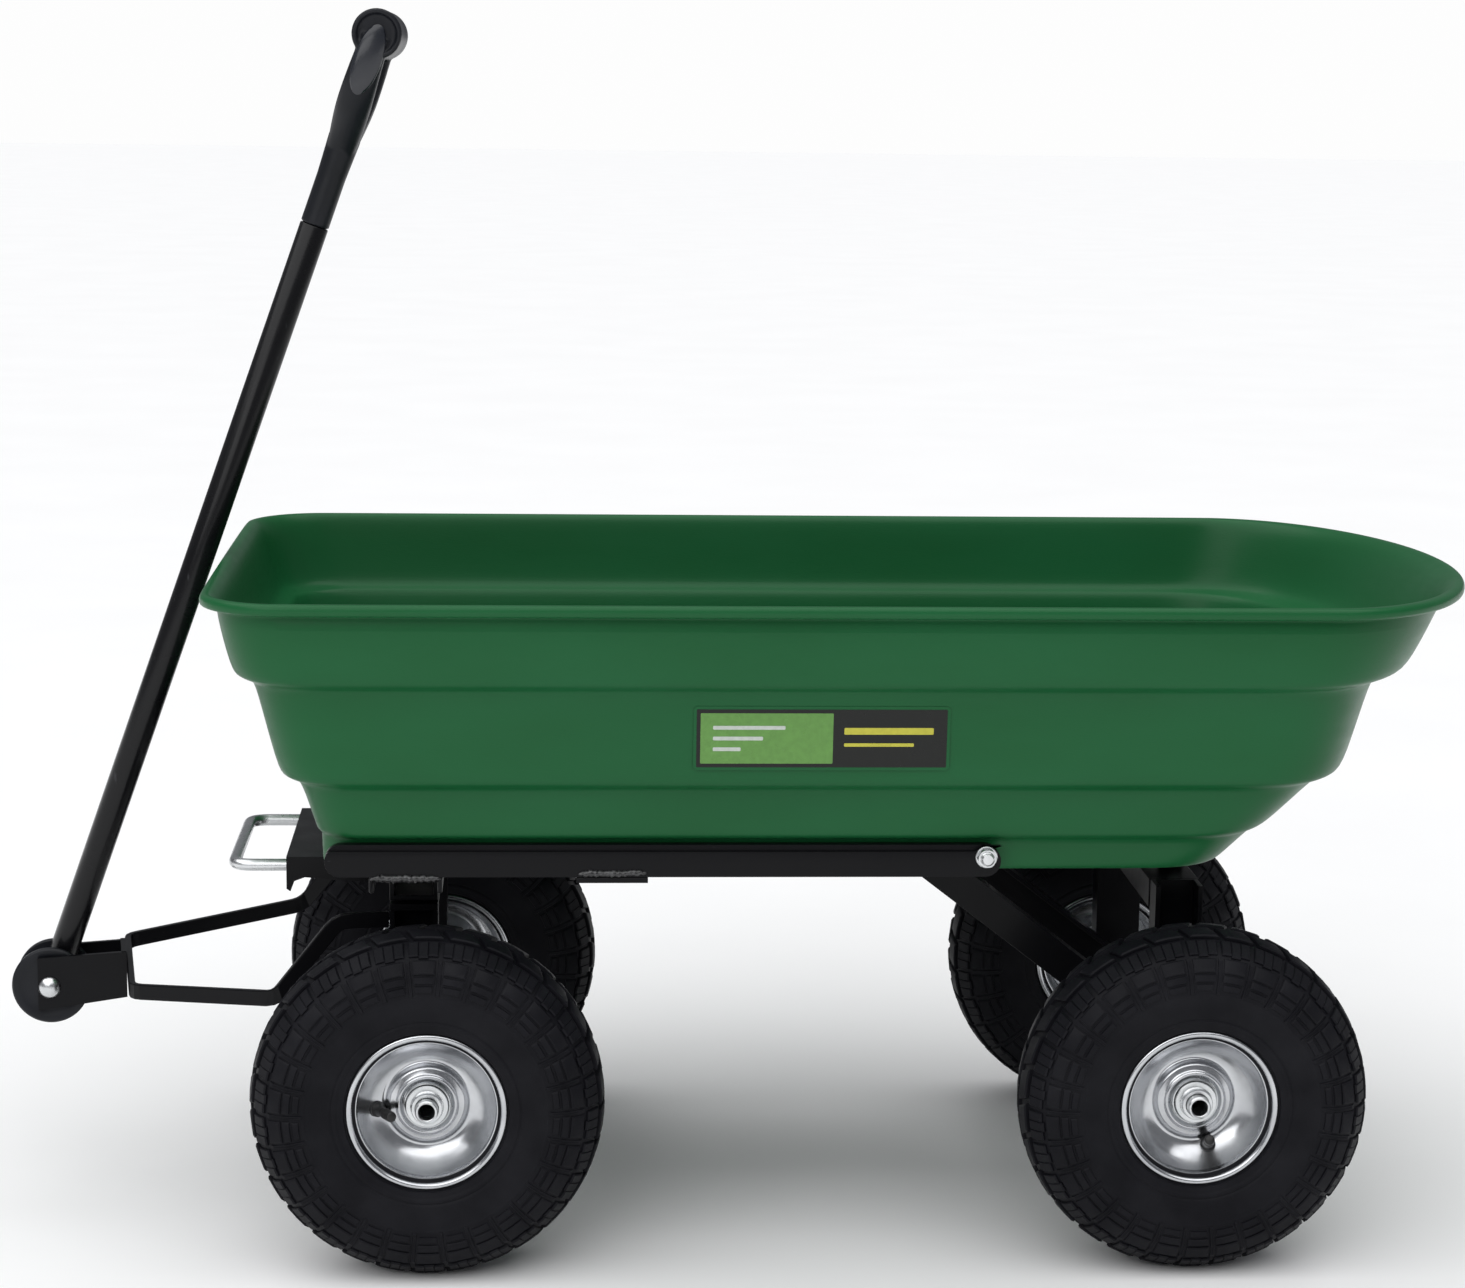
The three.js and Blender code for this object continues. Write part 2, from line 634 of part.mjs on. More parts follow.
// ---- Handle, modelled upright with its pivot at the origin, then leant back ----
function shaftGeometry() {
  return cut(
    barZ(SHAFT_R, [-SHAFT_BELOW, SHAFT_LENGTH], 0, 0),
    barZ(SHAFT_R - SHAFT_WALL, [-SHAFT_BELOW - 1, SHAFT_LENGTH + 1], 0, 0),
    barY(PIVOT_BOLT.r + RUNNING, [-SHAFT_R - 1, SHAFT_R + 1], 0, 0, 20),
  );
}

// A D-shaped grip: a fat cross bar between two arms that meet in a neck plugged into the tube.
const GRIP = { bar: 19, half: 60, armHalf: 56, arm: 13, depth: 24, neck: 672, spread: 712, crotch: 718, plug: 45 };
function gripGeometry() {
  const { bar, half, armHalf, arm, depth, neck, spread, crotch, plug } = GRIP;
  const frame = new THREE.Shape();
  frame.moveTo(-10, neck);
  frame.lineTo(10, neck);
  frame.bezierCurveTo(14, spread, armHalf, spread, armHalf, GRIP_AT);
  frame.lineTo(-armHalf, GRIP_AT);
  frame.bezierCurveTo(-armHalf, spread, -14, spread, -10, neck);
  const inner = armHalf - arm;
  const gap = new THREE.Path();
  gap.moveTo(-inner, GRIP_AT - 6);
  gap.bezierCurveTo(-inner, crotch + 10, -12, crotch, 0, crotch);
  gap.bezierCurveTo(12, crotch, inner, crotch + 10, inner, GRIP_AT - 6);
  frame.holes.push(gap);
  const body = new THREE.ExtrudeGeometry(frame, { depth, bevelEnabled: false, curveSegments: 8 })
    .translate(0, 0, -depth / 2)
    .rotateX(Math.PI / 2)
    .rotateZ(Math.PI / 2);
  return join(
    body,
    barY(bar, [-half, half], 0, GRIP_AT, 20),
    barZ(SHAFT_R, [SHAFT_LENGTH + GAP, neck + 18], 0, 0, 20),
    barZ(SHAFT_R - SHAFT_WALL - GAP, [SHAFT_LENGTH - plug, SHAFT_LENGTH + 5], 0, 0, 20),
  );
}

function pivotDiscGeometry(side) {
  const faces = onSide(side, SHAFT_R + GAP, CLEVIS.inner - GAP);
  const hole = barY(PIVOT_BOLT.r + RUNNING, [faces[0] - 1, faces[1] + 1], 0, 0, 20);
  return cut(barY(PIVOT_DISC_R, faces, 0, 0, 32), hole);
}

// ---- Wheels, modelled about the origin with +Y pointing outboard ----
const TYRE_SEGMENTS = 24;
const RIM_SEGMENTS = 16;
const HUB = { inner: -30, outer: 17, r: 17.5 };
function tyreGeometry() {
  const flat = WHEEL_R / Math.cos(Math.PI / TYRE_SEGMENTS); // flats, not corners, reach the ground
  const half = TYRE_WIDTH / 2;
  const side = [
    [BEAD_R + 0.6, 30],
    [59.7, 32.2],
    [60.5, 35.5],
    [72, 39.5],
    [92, half],
    [112, half - 3],
    [flat, half - 20],
  ];
  const inner = [
    [flat - 9, half - 26],
    [90, half - 6],
    [62, 22],
    [BEAD_R + 0.6, 20],
  ];
  const mirror = (points) => points.map(([r, y]) => [r, -y]).reverse();
  const profile = [...side, ...mirror(side), ...mirror(inner), ...inner.reverse()];
  return turned(profile, TYRE_SEGMENTS).rotateY(Math.PI / TYRE_SEGMENTS);
}

// Pressed steel rim: flanges, bead seats and a well outside, a stepped dish inside.
function rimGeometry() {
  const flange = [
    [FLANGE_R, FLANGE_Y - 1],
    [FLANGE_R - 2, FLANGE_Y],
    [FLANGE_R - 5, FLANGE_Y - 2.5],
  ];
  const outside = [[BEAD_R, 31], [BEAD_R, 17], [46.5, 13], [46.5, -13], [BEAD_R, -17], [BEAD_R, -31]];
  const dish = [
    [44, 17],
    [32, 9.5],
    [27.5, 12.5],
    [HUB.r + GAP, 15],
  ];
  const back = [
    [44, -17],
    [31, 3],
    [24, -10],
    [HUB.r + GAP, -12],
  ];
  const inboard = flange.map(([r, y]) => [r, -y]);
  const profile = [...dish.reverse(), ...flange.reverse(), ...outside, ...inboard, ...back];
  return turned(profile, RIM_SEGMENTS);
}

// The bearing housing in the middle of the rim.
function hubGeometry() {
  const bore = AXLE_R + RUNNING;
  return turned(
    [[bore, HUB.inner], [HUB.r, HUB.inner], [HUB.r, HUB.outer], [bore, HUB.outer]],
    RIM_SEGMENTS,
  );
}

function valveGeometry() {
  const stem = new THREE.CylinderGeometry(3.2, 5.2, 20, 12).translate(0, 10, 0);
  const cap = new THREE.CylinderGeometry(3.9, 3.9, 9, 12).translate(0, 22, 0);
  return join(stem, cap);
}

function axleWasherGeometry() {
  const face = HUB.outer + GAP;
  const bore = AXLE_R + GAP;
  return turned([[bore, face], [15.5, face], [15.5, face + 2.4], [bore, face + 2.4]], 16);
}

const VALVE = { r: 36, y: 14.5, lean: 0.45 };
function addWheel(parent, name, x, side, valveAngle) {
  const wheel = new THREE.Group();
  wheel.position.set(x, side * HALF_TRACK, WHEEL_R);
  if (side < 0) wheel.rotation.z = Math.PI;
  parent.add(wheel);
  add(wheel, `tyre_${name}`, tyreGeometry(), TYRE_RUBBER);
  add(wheel, `rim_${name}`, rimGeometry(), RIM_STEEL);
  add(wheel, `hub_${name}`, hubGeometry(), ZINC);
  add(wheel, `axle_washer_${name}`, axleWasherGeometry(), ZINC);
  const valve = add(wheel, `valve_${name}`, valveGeometry(), VALVE_RUBBER);
  valve.geometry.rotateZ(VALVE.lean).translate(VALVE.r, VALVE.y, 0).rotateY(valveAngle);
}

// ---- Label ----
const LABEL = { x0: -92, x1: 93, z0: 380.5, z1: 428, proud: 1.2 };
const LABEL_PANEL = { low: LEVELS[8], high: LEVELS[9] }; // the tier it is stuck to
function labelGeometry() {
  const { low, high } = LABEL_PANEL;
  const wallAt = (z) => low.half + ((z - low.z) / (high.z - low.z)) * (high.half - low.half);
  const { x0, x1, z0, z1, proud } = LABEL;
  const section = [
    [wallAt(z0) + GAP, z0],
    [wallAt(z0) + GAP + proud, z0],
    [wallAt(z1) + GAP + proud, z1],
    [wallAt(z1) + GAP, z1],
  ];
  const shape = new THREE.Shape(section.map(([y, z]) => new THREE.Vector2(-y, z)));
  return new THREE.ExtrudeGeometry(shape, { depth: x1 - x0, bevelEnabled: false })
    .rotateX(Math.PI / 2)
    .rotateZ(Math.PI / 2)
    .translate(x0, 0, 0);
}

// ---- Assembly ----
const sides = [
  ["left", -1],
  ["right", 1],
];
const cart = new THREE.Group();

add(cart, "tub", tubGeometry(), GREEN_POLY);
add(cart, "side_label", labelGeometry(), LABEL_FILM);
for (const [name, side] of sides) {
  add(cart, `rail_${name}`, railGeometry(side), BLACK_STEEL);
  add(cart, `rail_bolt_${name}`, railBoltGeometry(side), ZINC);
}
add(cart, "front_strap", frontStrapGeometry(), BLACK_STEEL);
add(cart, "mid_strap", midStrapGeometry(), BLACK_STEEL);
add(cart, "tip_hinge_plate", hingePlateGeometry(), BLACK_STEEL);
add(cart, "latch_bracket", latchBracketGeometry(), BLACK_STEEL);
add(cart, "latch_pin", barY(LATCH_PIN_R, [-LATCH_PIN_HALF, LATCH_PIN_HALF], LATCH_AXIS.x, LATCH_AXIS.z, 16), ZINC);
add(cart, "latch_plate", latchPlateGeometry(), BLACK_STEEL);
add(cart, "release_bail", bailGeometry(), ZINC);

add(cart, "front_crossbeam", frontCrossbeamGeometry(), BLACK_STEEL);
add(cart, "chassis_spine", spineGeometry(), BLACK_STEEL);
add(cart, "rear_crossbeam", rearCrossbeamGeometry(), BLACK_STEEL);
add(cart, "tip_pin", barY(PIN_R, [-PIN_HALF, PIN_HALF], TIP_AXIS.x, TIP_AXIS.z, 20), ZINC);
const { x0, x1, z0, z1, half } = BRACE_BAR;
add(cart, "brace_crossbar", box([x0, x1], [-half, half], [z0, z1]), BLACK_STEEL);
add(cart, "kingpin", kingpinGeometry(), ZINC);
for (const [name, side] of sides) {
  add(cart, `rear_leg_${name}`, legGeometry(side, AXLE_X, [BEAM_TOP + GAP, LEG_TOP]), BLACK_STEEL);
  add(cart, `brace_${name}`, braceGeometry(side), BLACK_STEEL);
  const frontLeg = legGeometry(side, KINGPIN_X, [BEAM_TOP + GAP, STEER.plateZ - GAP]);
  add(cart, `front_leg_${name}`, frontLeg, BLACK_STEEL);
}
add(cart, "steering_plate", steeringPlateGeometry(), BLACK_STEEL);
add(cart, "turntable_disc", turntableDiscGeometry(), BLACK_PLASTIC);
add(cart, "drawbar", drawbarGeometry(), BLACK_STEEL);
add(cart, "clevis", clevisGeometry(), BLACK_STEEL);
add(cart, "pivot_bolt", pivotBoltGeometry(), ZINC);
add(cart, "pivot_nut", pivotNutGeometry(), ZINC);

const handle = new THREE.Group();
handle.position.set(PIVOT.x, 0, PIVOT.z);
handle.rotation.y = HANDLE_LEAN;
cart.add(handle);
add(handle, "handle_shaft", shaftGeometry(), BLACK_STEEL);
add(handle, "d_grip", gripGeometry(), BLACK_PLASTIC);
for (const [name, side] of sides) add(handle, `pivot_disc_${name}`, pivotDiscGeometry(side), BLACK_PLASTIC);

for (const [end, x] of [["front", -AXLE_X], ["rear", AXLE_X]]) {
  add(cart, `${end}_axle_beam`, axleBeamGeometry(x), BLACK_STEEL);
  add(cart, `${end}_axle`, axleGeometry().translate(x, 0, WHEEL_R), ZINC);
}
addWheel(cart, "front_left", -AXLE_X, -1, 0.12);
addWheel(cart, "front_right", -AXLE_X, 1, 2.2);
addWheel(cart, "rear_left", AXLE_X, -1, 1.9);
addWheel(cart, "rear_right", AXLE_X, 1, -0.8);

// The whole cart reaches from the front of the pivot discs to the rear of the tub's rim.
const centreX = (PIVOT.x - PIVOT_DISC_R + LIP.rear) / 2;
cart.position.x = -centreX;

const root = new THREE.Group();
root.add(cart);
export default root;
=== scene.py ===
"""Looks for the garden dump cart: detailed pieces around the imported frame, materials, light, camera.

Shapes are worked out in millimetres in the cart's own terms and placed from the frame's nodes.
"""

import json
import math
import random

import bmesh
import bpy
from mathutils import Matrix, Vector


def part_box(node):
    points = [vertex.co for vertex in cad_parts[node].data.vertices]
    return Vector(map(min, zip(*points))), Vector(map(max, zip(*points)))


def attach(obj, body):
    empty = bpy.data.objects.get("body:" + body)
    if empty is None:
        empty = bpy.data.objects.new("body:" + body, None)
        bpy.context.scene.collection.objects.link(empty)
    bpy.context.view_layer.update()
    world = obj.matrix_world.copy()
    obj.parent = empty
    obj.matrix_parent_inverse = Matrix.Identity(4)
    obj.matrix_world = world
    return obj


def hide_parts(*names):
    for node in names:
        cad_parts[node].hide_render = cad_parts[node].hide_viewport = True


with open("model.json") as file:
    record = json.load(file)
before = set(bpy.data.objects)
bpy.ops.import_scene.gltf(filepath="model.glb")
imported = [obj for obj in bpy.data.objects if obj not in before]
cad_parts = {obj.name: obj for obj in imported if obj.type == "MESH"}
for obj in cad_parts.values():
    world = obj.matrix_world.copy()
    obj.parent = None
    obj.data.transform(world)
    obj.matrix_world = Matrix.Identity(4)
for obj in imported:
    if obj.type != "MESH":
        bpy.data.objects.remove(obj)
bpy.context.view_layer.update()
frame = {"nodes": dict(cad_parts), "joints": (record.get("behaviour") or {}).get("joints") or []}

MM = 0.001
WHEELS = ("front_left", "front_right", "rear_left", "rear_right")
SIDES = {"left": -1, "right": 1}

# ---- Driving dimensions, in millimetres ----
HALF_WIDTH = 42.2  # of a tyre
BLOCKS_ROUND = 30
HUB_R = 17.3
HUB_FACE = 17
AXLE_R = 8.5
AXLE_BORE_R = 6.2
AXLE_END_Y = 33  # beyond the wheel's mid-plane
HALF_TRACK = 205

HANDLE_LEAN = math.radians(19.5)
SHAFT_R = 11
SHAFT_LENGTH = 629
GRIP_AT = 781
GRIP_BAR_R = 18.6
GRIP_HALF = 59
DISC_R = 30

TUB_WALL = 4
FLOOR_TOP = 303.5


# ---- Places taken from the frame ----
def middle(node):
    low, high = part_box(node)
    return (low + high) / 2


def joint_point(name):
    joint = next(j for j in frame["joints"] if j["name"] == name)
    return Vector(joint["pos_m"])


# ---- Mesh building ----
def piece(name, verts, faces, material, place=None, scale=MM, smooth=35):
    """A mesh piece from points in millimetres, moved to its place in metres."""
    mesh = bpy.data.meshes.new(name)
    mesh.from_pydata([tuple(v) for v in verts], [], faces)
    bm = bmesh.new()
    bm.from_mesh(mesh)
    bmesh.ops.recalc_face_normals(bm, faces=bm.faces)
    bm.to_mesh(mesh)
    bm.free()
    mesh.transform(Matrix.Scale(scale, 4))
    if place is not None:
        mesh.transform(place)
    mesh.materials.append(material)
    mesh.shade_smooth()
    mesh.set_sharp_from_angle(angle=math.radians(smooth))
    obj = bpy.data.objects.new(name, mesh)
    bpy.context.scene.collection.objects.link(obj)
    return obj


def settle(obj, body, slot, *nodes):
    """Says what a finished piece rides on and the nodes that it stands for; slot is not used."""
    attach(obj, body)
    if nodes:
        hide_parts(*nodes)
    return obj


def bake(obj):
    """Turns a piece's modifiers into its mesh."""
    graph = bpy.context.evaluated_depsgraph_get()
    mesh = bpy.data.meshes.new_from_object(obj.evaluated_get(graph))
    obj.modifiers.clear()
    obj.data = mesh
    return obj


def subdivide(obj, levels):
    modifier = obj.modifiers.new("Subdivision", "SUBSURF")
    modifier.levels = levels
    modifier.render_levels = levels
    return bake(obj)


def merged(parts):
    """Several (verts, faces) shells as one."""
    verts, faces = [], []
    for more_verts, more_faces in parts:
        start = len(verts)
        verts += more_verts
        faces += [tuple(i + start for i in face) for face in more_faces]
    return verts, faces


def moved(part, matrix):
    verts, faces = part
    return [matrix @ Vector(v) for v in verts], faces


def revolve(profile, segments, closed=True):
    """A shell turned about Y from (radius, y) points.

    A closed profile makes a ring; an open one starts and ends on the axis.
    """
    verts, faces, rows = [], [], []
    for radius, y in profile:
        if radius < 1e-6:
            rows.append([len(verts)] * segments)
            verts.append(Vector((0, y, 0)))
            continue
        rows.append([len(verts) + i for i in range(segments)])
        for i in range(segments):
            turn = 2 * math.pi * i / segments
            verts.append(Vector((radius * math.cos(turn), y, radius * math.sin(turn))))
    pairs = list(zip(rows, rows[1:] + rows[:1])) if closed else list(zip(rows, rows[1:]))
    for row, after in pairs:
        for i in range(segments):
            j = (i + 1) % segments
            corners = [row[i], row[j], after[j], after[i]]
            face = tuple(dict.fromkeys(corners))
            if len(face) > 2:
                faces.append(face)
    return verts, faces


def arc(centre, radius, start, end, steps):
    """Points of an arc in the (radius, y) plane, angles in degrees from the radius axis."""
    points = []
    for i in range(steps + 1):
        turn = math.radians(start + (end - start) * i / steps)
        points.append((centre[0] + radius * math.cos(turn), centre[1] + radius * math.sin(turn)))
    return points


def skin(rings, ends=True):
    """A shell through closed rings of points, with its two ends closed."""
    count = len(rings[0])
    verts = [Vector(p) for ring in rings for p in ring]
    faces = []
    for r in range(len(rings) - 1):
        for i in range(count):
            j = (i + 1) % count
            faces.append((r * count + i, r * count + j, (r + 1) * count + j, (r + 1) * count + i))
    if ends:
        faces.append(tuple(range(count)))
        faces.append(tuple(range((len(rings) - 1) * count, len(rings) * count)))
    return verts, faces


def sweep(path, radius, sides=16):
    """A round bar along a path. radius is a number or a function of the share of the path."""
    rings = []
    normal = None
    last = len(path) - 1
    for i, point in enumerate(path):
        along = (path[min(i + 1, last)] - path[max(i - 1, 0)]).normalized()
        if normal is None:
            normal = along.orthogonal().normalized()
        normal = (normal - along * normal.dot(along)).normalized()
        across = along.cross(normal)
        r = radius(i / last) if callable(radius) else radius
        turns = [2 * math.pi * k / sides for k in range(sides)]
        rings.append([point + normal * (r * math.cos(t)) + across * (r * math.sin(t)) for t in turns])
    return skin(rings)


def rounded_path(corners, radius, steps=8):
    """A polyline whose corners are rounded."""
    path = [corners[0]]
    for before, corner, after in zip(corners, corners[1:], corners[2:]):
        start = corner + (before - corner).normalized() * radius
        end = corner + (after - corner).normalized() * radius
        for i in range(steps + 1):
            t = i / steps
            path.append(start * (1 - t) ** 2 + corner * (2 * t * (1 - t)) + end * t**2)
    path.append(corners[-1])
    return path


def bezier(points, steps):
    """Points along a cubic Bezier curve."""
    a, b, c, d = points
    path = []
    for i in range(steps + 1):
        t = i / steps
        s = 1 - t
        path.append(a * s**3 + b * (3 * s * s * t) + c * (3 * s * t * t) + d * t**3)
    return path


def slab(outline, y0, y1):
    """A flat plate from an outline of (x, z) points between two Y planes."""
    return skin([[(x, y, z) for x, z in outline] for y in (y0, y1)])


# ---- Materials ----
def material(name, colour, roughness, metallic=0.0, coat=0.0, specular=0.5):
    """A Principled material, with its shader node and node tree."""
    mat = bpy.data.materials.new(name)
    mat.use_nodes = True
    shader = mat.node_tree.nodes["Principled BSDF"]
    shader.inputs["Base Color"].default_value = (*colour, 1)
    shader.inputs["Roughness"].default_value = roughness
    shader.inputs["Metallic"].default_value = metallic
    shader.inputs["Coat Weight"].default_value = coat
    shader.inputs["Coat Roughness"].default_value = 0.12
    shader.inputs["Specular IOR Level"].default_value = specular
    return mat


def noise(mat, scale, detail=4.0, stretch=(1, 1, 1)):
    """A noise pattern fixed to the object, in cycles per metre, and its value socket."""
    nodes, links = mat.node_tree.nodes, mat.node_tree.links
    place = nodes.new("ShaderNodeTexCoord")
    mapping = nodes.new("ShaderNodeMapping")
    mapping.inputs["Scale"].default_value = stretch
    pattern = nodes.new("ShaderNodeTexNoise")
    pattern.inputs["Scale"].default_value = scale
    pattern.inputs["Detail"].default_value = detail
    links.new(place.outputs["Object"], mapping.inputs["Vector"])
    links.new(mapping.outputs["Vector"], pattern.inputs["Vector"])
    return pattern.outputs["Fac"]


def ramp(mat, value, low, high, dark, light):
    """Maps a value between two stops to two colours."""
    nodes, links = mat.node_tree.nodes, mat.node_tree.links
    node = nodes.new("ShaderNodeValToRGB")
    node.color_ramp.elements[0].position = low
    node.color_ramp.elements[1].position = high
    node.color_ramp.elements[0].color = (*dark, 1)
    node.color_ramp.elements[1].color = (*light, 1)
    links.new(value, node.inputs["Fac"])
    return node.outputs["Color"]


def set_colour(mat, socket):
    shader = mat.node_tree.nodes["Principled BSDF"]
    mat.node_tree.links.new(socket, shader.inputs["Base Color"])


def vary_roughness(mat, value, low, high):
    """Roughness between two values, following a pattern."""
    nodes, links = mat.node_tree.nodes, mat.node_tree.links
    node = nodes.new("ShaderNodeMapRange")
    node.inputs["To Min"].default_value = low
    node.inputs["To Max"].default_value = high
    links.new(value, node.inputs["Value"])
    links.new(node.outputs["Result"], nodes["Principled BSDF"].inputs["Roughness"])


def bump(mat, value, strength, depth):
    """Surface relief from a pattern. depth is in metres. Calls add up."""
    nodes, links = mat.node_tree.nodes, mat.node_tree.links
    node = nodes.new("ShaderNodeBump")
    node.inputs["Strength"].default_value = strength
    node.inputs["Distance"].default_value = depth
    links.new(value, node.inputs["Height"])
    normal = nodes["Principled BSDF"].inputs["Normal"]
    if normal.is_linked:
        links.new(normal.links[0].from_socket, node.inputs["Normal"])
    links.new(node.outputs["Normal"], normal)


def green_poly():
    """Moulded polyethylene: semi-gloss, with faint flow lines and scuffs."""
    mat = material("green_poly", (0.009, 0.098, 0.030), 0.36, specular=0.2)
    flow = noise(mat, 5, 3, (1, 1, 3))
    set_colour(mat, ramp(mat, flow, 0.3, 0.7, (0.008, 0.092, 0.027), (0.010, 0.106, 0.034)))
    vary_roughness(mat, noise(mat, 30, 5, (1, 1, 4)), 0.27, 0.42)
    bump(mat, noise(mat, 240, 3, (1, 1, 5)), 0.12, 0.0006)
    bump(mat, noise(mat, 18, 2), 0.10, 0.002)
    return mat


def black_paint():
    """Powder coat over steel: near black, orange peel, small scratches showing grey."""
    mat = material("black_paint", (0.004, 0.004, 0.005), 0.36, coat=0.03, specular=0.13)
    scratches = noise(mat, 90, 8, (1, 1, 6))
    set_colour(mat, ramp(mat, scratches, 0.72, 0.80, (0.004, 0.004, 0.005), (0.030, 0.030, 0.033)))
    vary_roughness(mat, noise(mat, 40, 4), 0.26, 0.44)
    bump(mat, noise(mat, 700, 2), 0.10, 0.0004)
    return mat


def gloss_black_tube():
    """The handle tube's glossier paint, a little worn along its length."""
    mat = material("gloss_black_tube", (0.005, 0.005, 0.006), 0.25, coat=0.12, specular=0.2)
    wear = noise(mat, 55, 7, (3, 3, 0.7))
    set_colour(mat, ramp(mat, wear, 0.68, 0.78, (0.005, 0.005, 0.006), (0.035, 0.036, 0.040)))
    vary_roughness(mat, noise(mat, 25, 4), 0.18, 0.36)
    bump(mat, noise(mat, 500, 2), 0.12, 0.0004)
    return mat


def zinc():
    """Bright zinc plate with a faint cloudy passivation."""
    mat = material("zinc", (0.60, 0.62, 0.64), 0.26, 1.0)
    cloud = noise(mat, 70, 3)
    set_colour(mat, ramp(mat, cloud, 0.3, 0.7, (0.62, 0.64, 0.65), (0.74, 0.75, 0.76)))
    vary_roughness(mat, noise(mat, 120, 3), 0.24, 0.32)
    bump(mat, noise(mat, 400, 2), 0.03, 0.0002)
    return mat


def pressed_rim():
    """Bright pressed steel with faint rings from the press tool."""
    mat = material("pressed_rim", (0.56, 0.57, 0.59), 0.2, 1.0)
    cloud = noise(mat, 35, 5)
    set_colour(mat, ramp(mat, cloud, 0.3, 0.7, (0.46, 0.47, 0.49), (0.62, 0.63, 0.65)))
    vary_roughness(mat, noise(mat, 160, 5), 0.13, 0.27)
    bump(mat, noise(mat, 60, 3), 0.06, 0.0006)
    return mat


def tyre_rubber():
    """Moulded rubber, slightly dusty in places."""
    mat = material("tyre_rubber", (0.005, 0.005, 0.007), 0.55, specular=0.13)
    dust = noise(mat, 30, 6)
    set_colour(mat, ramp(mat, dust, 0.35, 0.85, (0.004, 0.004, 0.006), (0.011, 0.011, 0.014)))
    vary_roughness(mat, noise(mat, 70, 4), 0.45, 0.68)
    bump(mat, noise(mat, 900, 3), 0.2, 0.0004)
    return mat


def smooth_rubber():
    mat = material("smooth_rubber", (0.006, 0.006, 0.006), 0.45)
    vary_roughness(mat, noise(mat, 400, 3), 0.35, 0.55)
    bump(mat, noise(mat, 1500, 2), 0.15, 0.0002)
    return mat


def black_plastic():
    """Fine-textured moulded plastic of the grip and discs."""
    mat = material("black_plastic", (0.008, 0.009, 0.012), 0.38, specular=0.22)
    vary_roughness(mat, noise(mat, 90, 4), 0.30, 0.46)
    set_colour(mat, ramp(mat, noise(mat, 20, 3), 0.3, 0.7, (0.007, 0.008, 0.010), (0.012, 0.013, 0.017)))
    bump(mat, noise(mat, 2200, 2), 0.15, 0.0002)
    return mat


def glossy_plastic():
    """The grip's raised pads, polished by hands."""
    mat = material("glossy_plastic", (0.014, 0.016, 0.022), 0.22, coat=0.25)
    vary_roughness(mat, noise(mat, 60, 4), 0.16, 0.30)
    bump(mat, noise(mat, 300, 2), 0.05, 0.0003)
    return mat


def film(name, colour):
    """Printed sticker film, with slight print mottling and ripples."""
    mat = material(name, colour, 0.28, coat=0.1, specular=0.25)
    dark = tuple(0.86 * c for c in colour)
    set_colour(mat, ramp(mat, noise(mat, 260, 4), 0.3, 0.7, dark, colour))
    vary_roughness(mat, noise(mat, 50, 3), 0.2, 0.36)
    bump(mat, noise(mat, 25, 2), 0.06, 0.001)
    return mat


def weld_metal():
    mat = material("weld_metal", (0.012, 0.012, 0.013), 0.3, coat=0.4)
    set_colour(mat, ramp(mat, noise(mat, 500, 4), 0.45, 0.65, (0.008, 0.008, 0.009), (0.045, 0.045, 0.048)))
    bump(mat, noise(mat, 700, 4), 0.4, 0.0008)
    return mat


def pale_floor():
    mat = material("pale_floor", (0.94, 0.94, 0.94), 0.7, specular=0.2)
    set_colour(mat, ramp(mat, noise(mat, 3, 4), 0.3, 0.7, (0.93, 0.93, 0.93), (0.95, 0.95, 0.95)))
    return mat


GREEN = green_poly()
PAINT = black_paint()
TUBE_PAINT = gloss_black_tube()
ZINC = zinc()
RIM = pressed_rim()
RUBBER = tyre_rubber()
SMOOTH_RUBBER = smooth_rubber()
PLASTIC = black_plastic()
PAD = glossy_plastic()
WELD = weld_metal()

# ---- Tub ----
# Levels of the wall: height, front and rear end, half width, reach and squareness of the rear
# rounding (2 is an ellipse), and the radius of the front corners. X is from the wheelbase's middle.
LEVELS = [
    (299, -361, 326, 193, 90, 3.2, 26),
    (323, -361, 348, 195.5, 92, 3.2, 28),
    (324.5, -362, 350, 200, 94, 3.2, 32),
    (327, -364, 354, 204.5, 95, 3.2, 34),
    (331, -366, 361, 205.5, 96, 3.2, 36),
    (363, -376, 394, 209.5, 100, 3.1, 38),
    (365, -380, 398, 214, 102, 3.1, 42),
    (368, -388, 408, 219.5, 104, 3.0, 46),
    (373, -393, 414, 221.5, 106, 3.0, 48),
    (437, -408, 433, 226.5, 116, 2.8, 50),
    (439.5, -411, 440, 230, 120, 2.7, 52),
    (443, -420, 458, 235.5, 128, 2.5, 54),
    (448, -425, 468, 237.5, 132, 2.4, 56),
    (490, -435, 494, 241, 140, 2.1, 58),
]
LIP = (503.5, -447, 513, 249, 143, 2.0, 64)
# The rolled lip from its underside, over the edge and in: how far in from LIP, and the height.
LIP_SECTION = [(14, 493.5), (3, 494), (0.3, 496), (0.3, 501), (2.5, 503.4), (7, 503.4), (10, 501.5)]
REAR_STEPS = 28
CORNER_STEPS = 7
SIDE_STEPS = 5


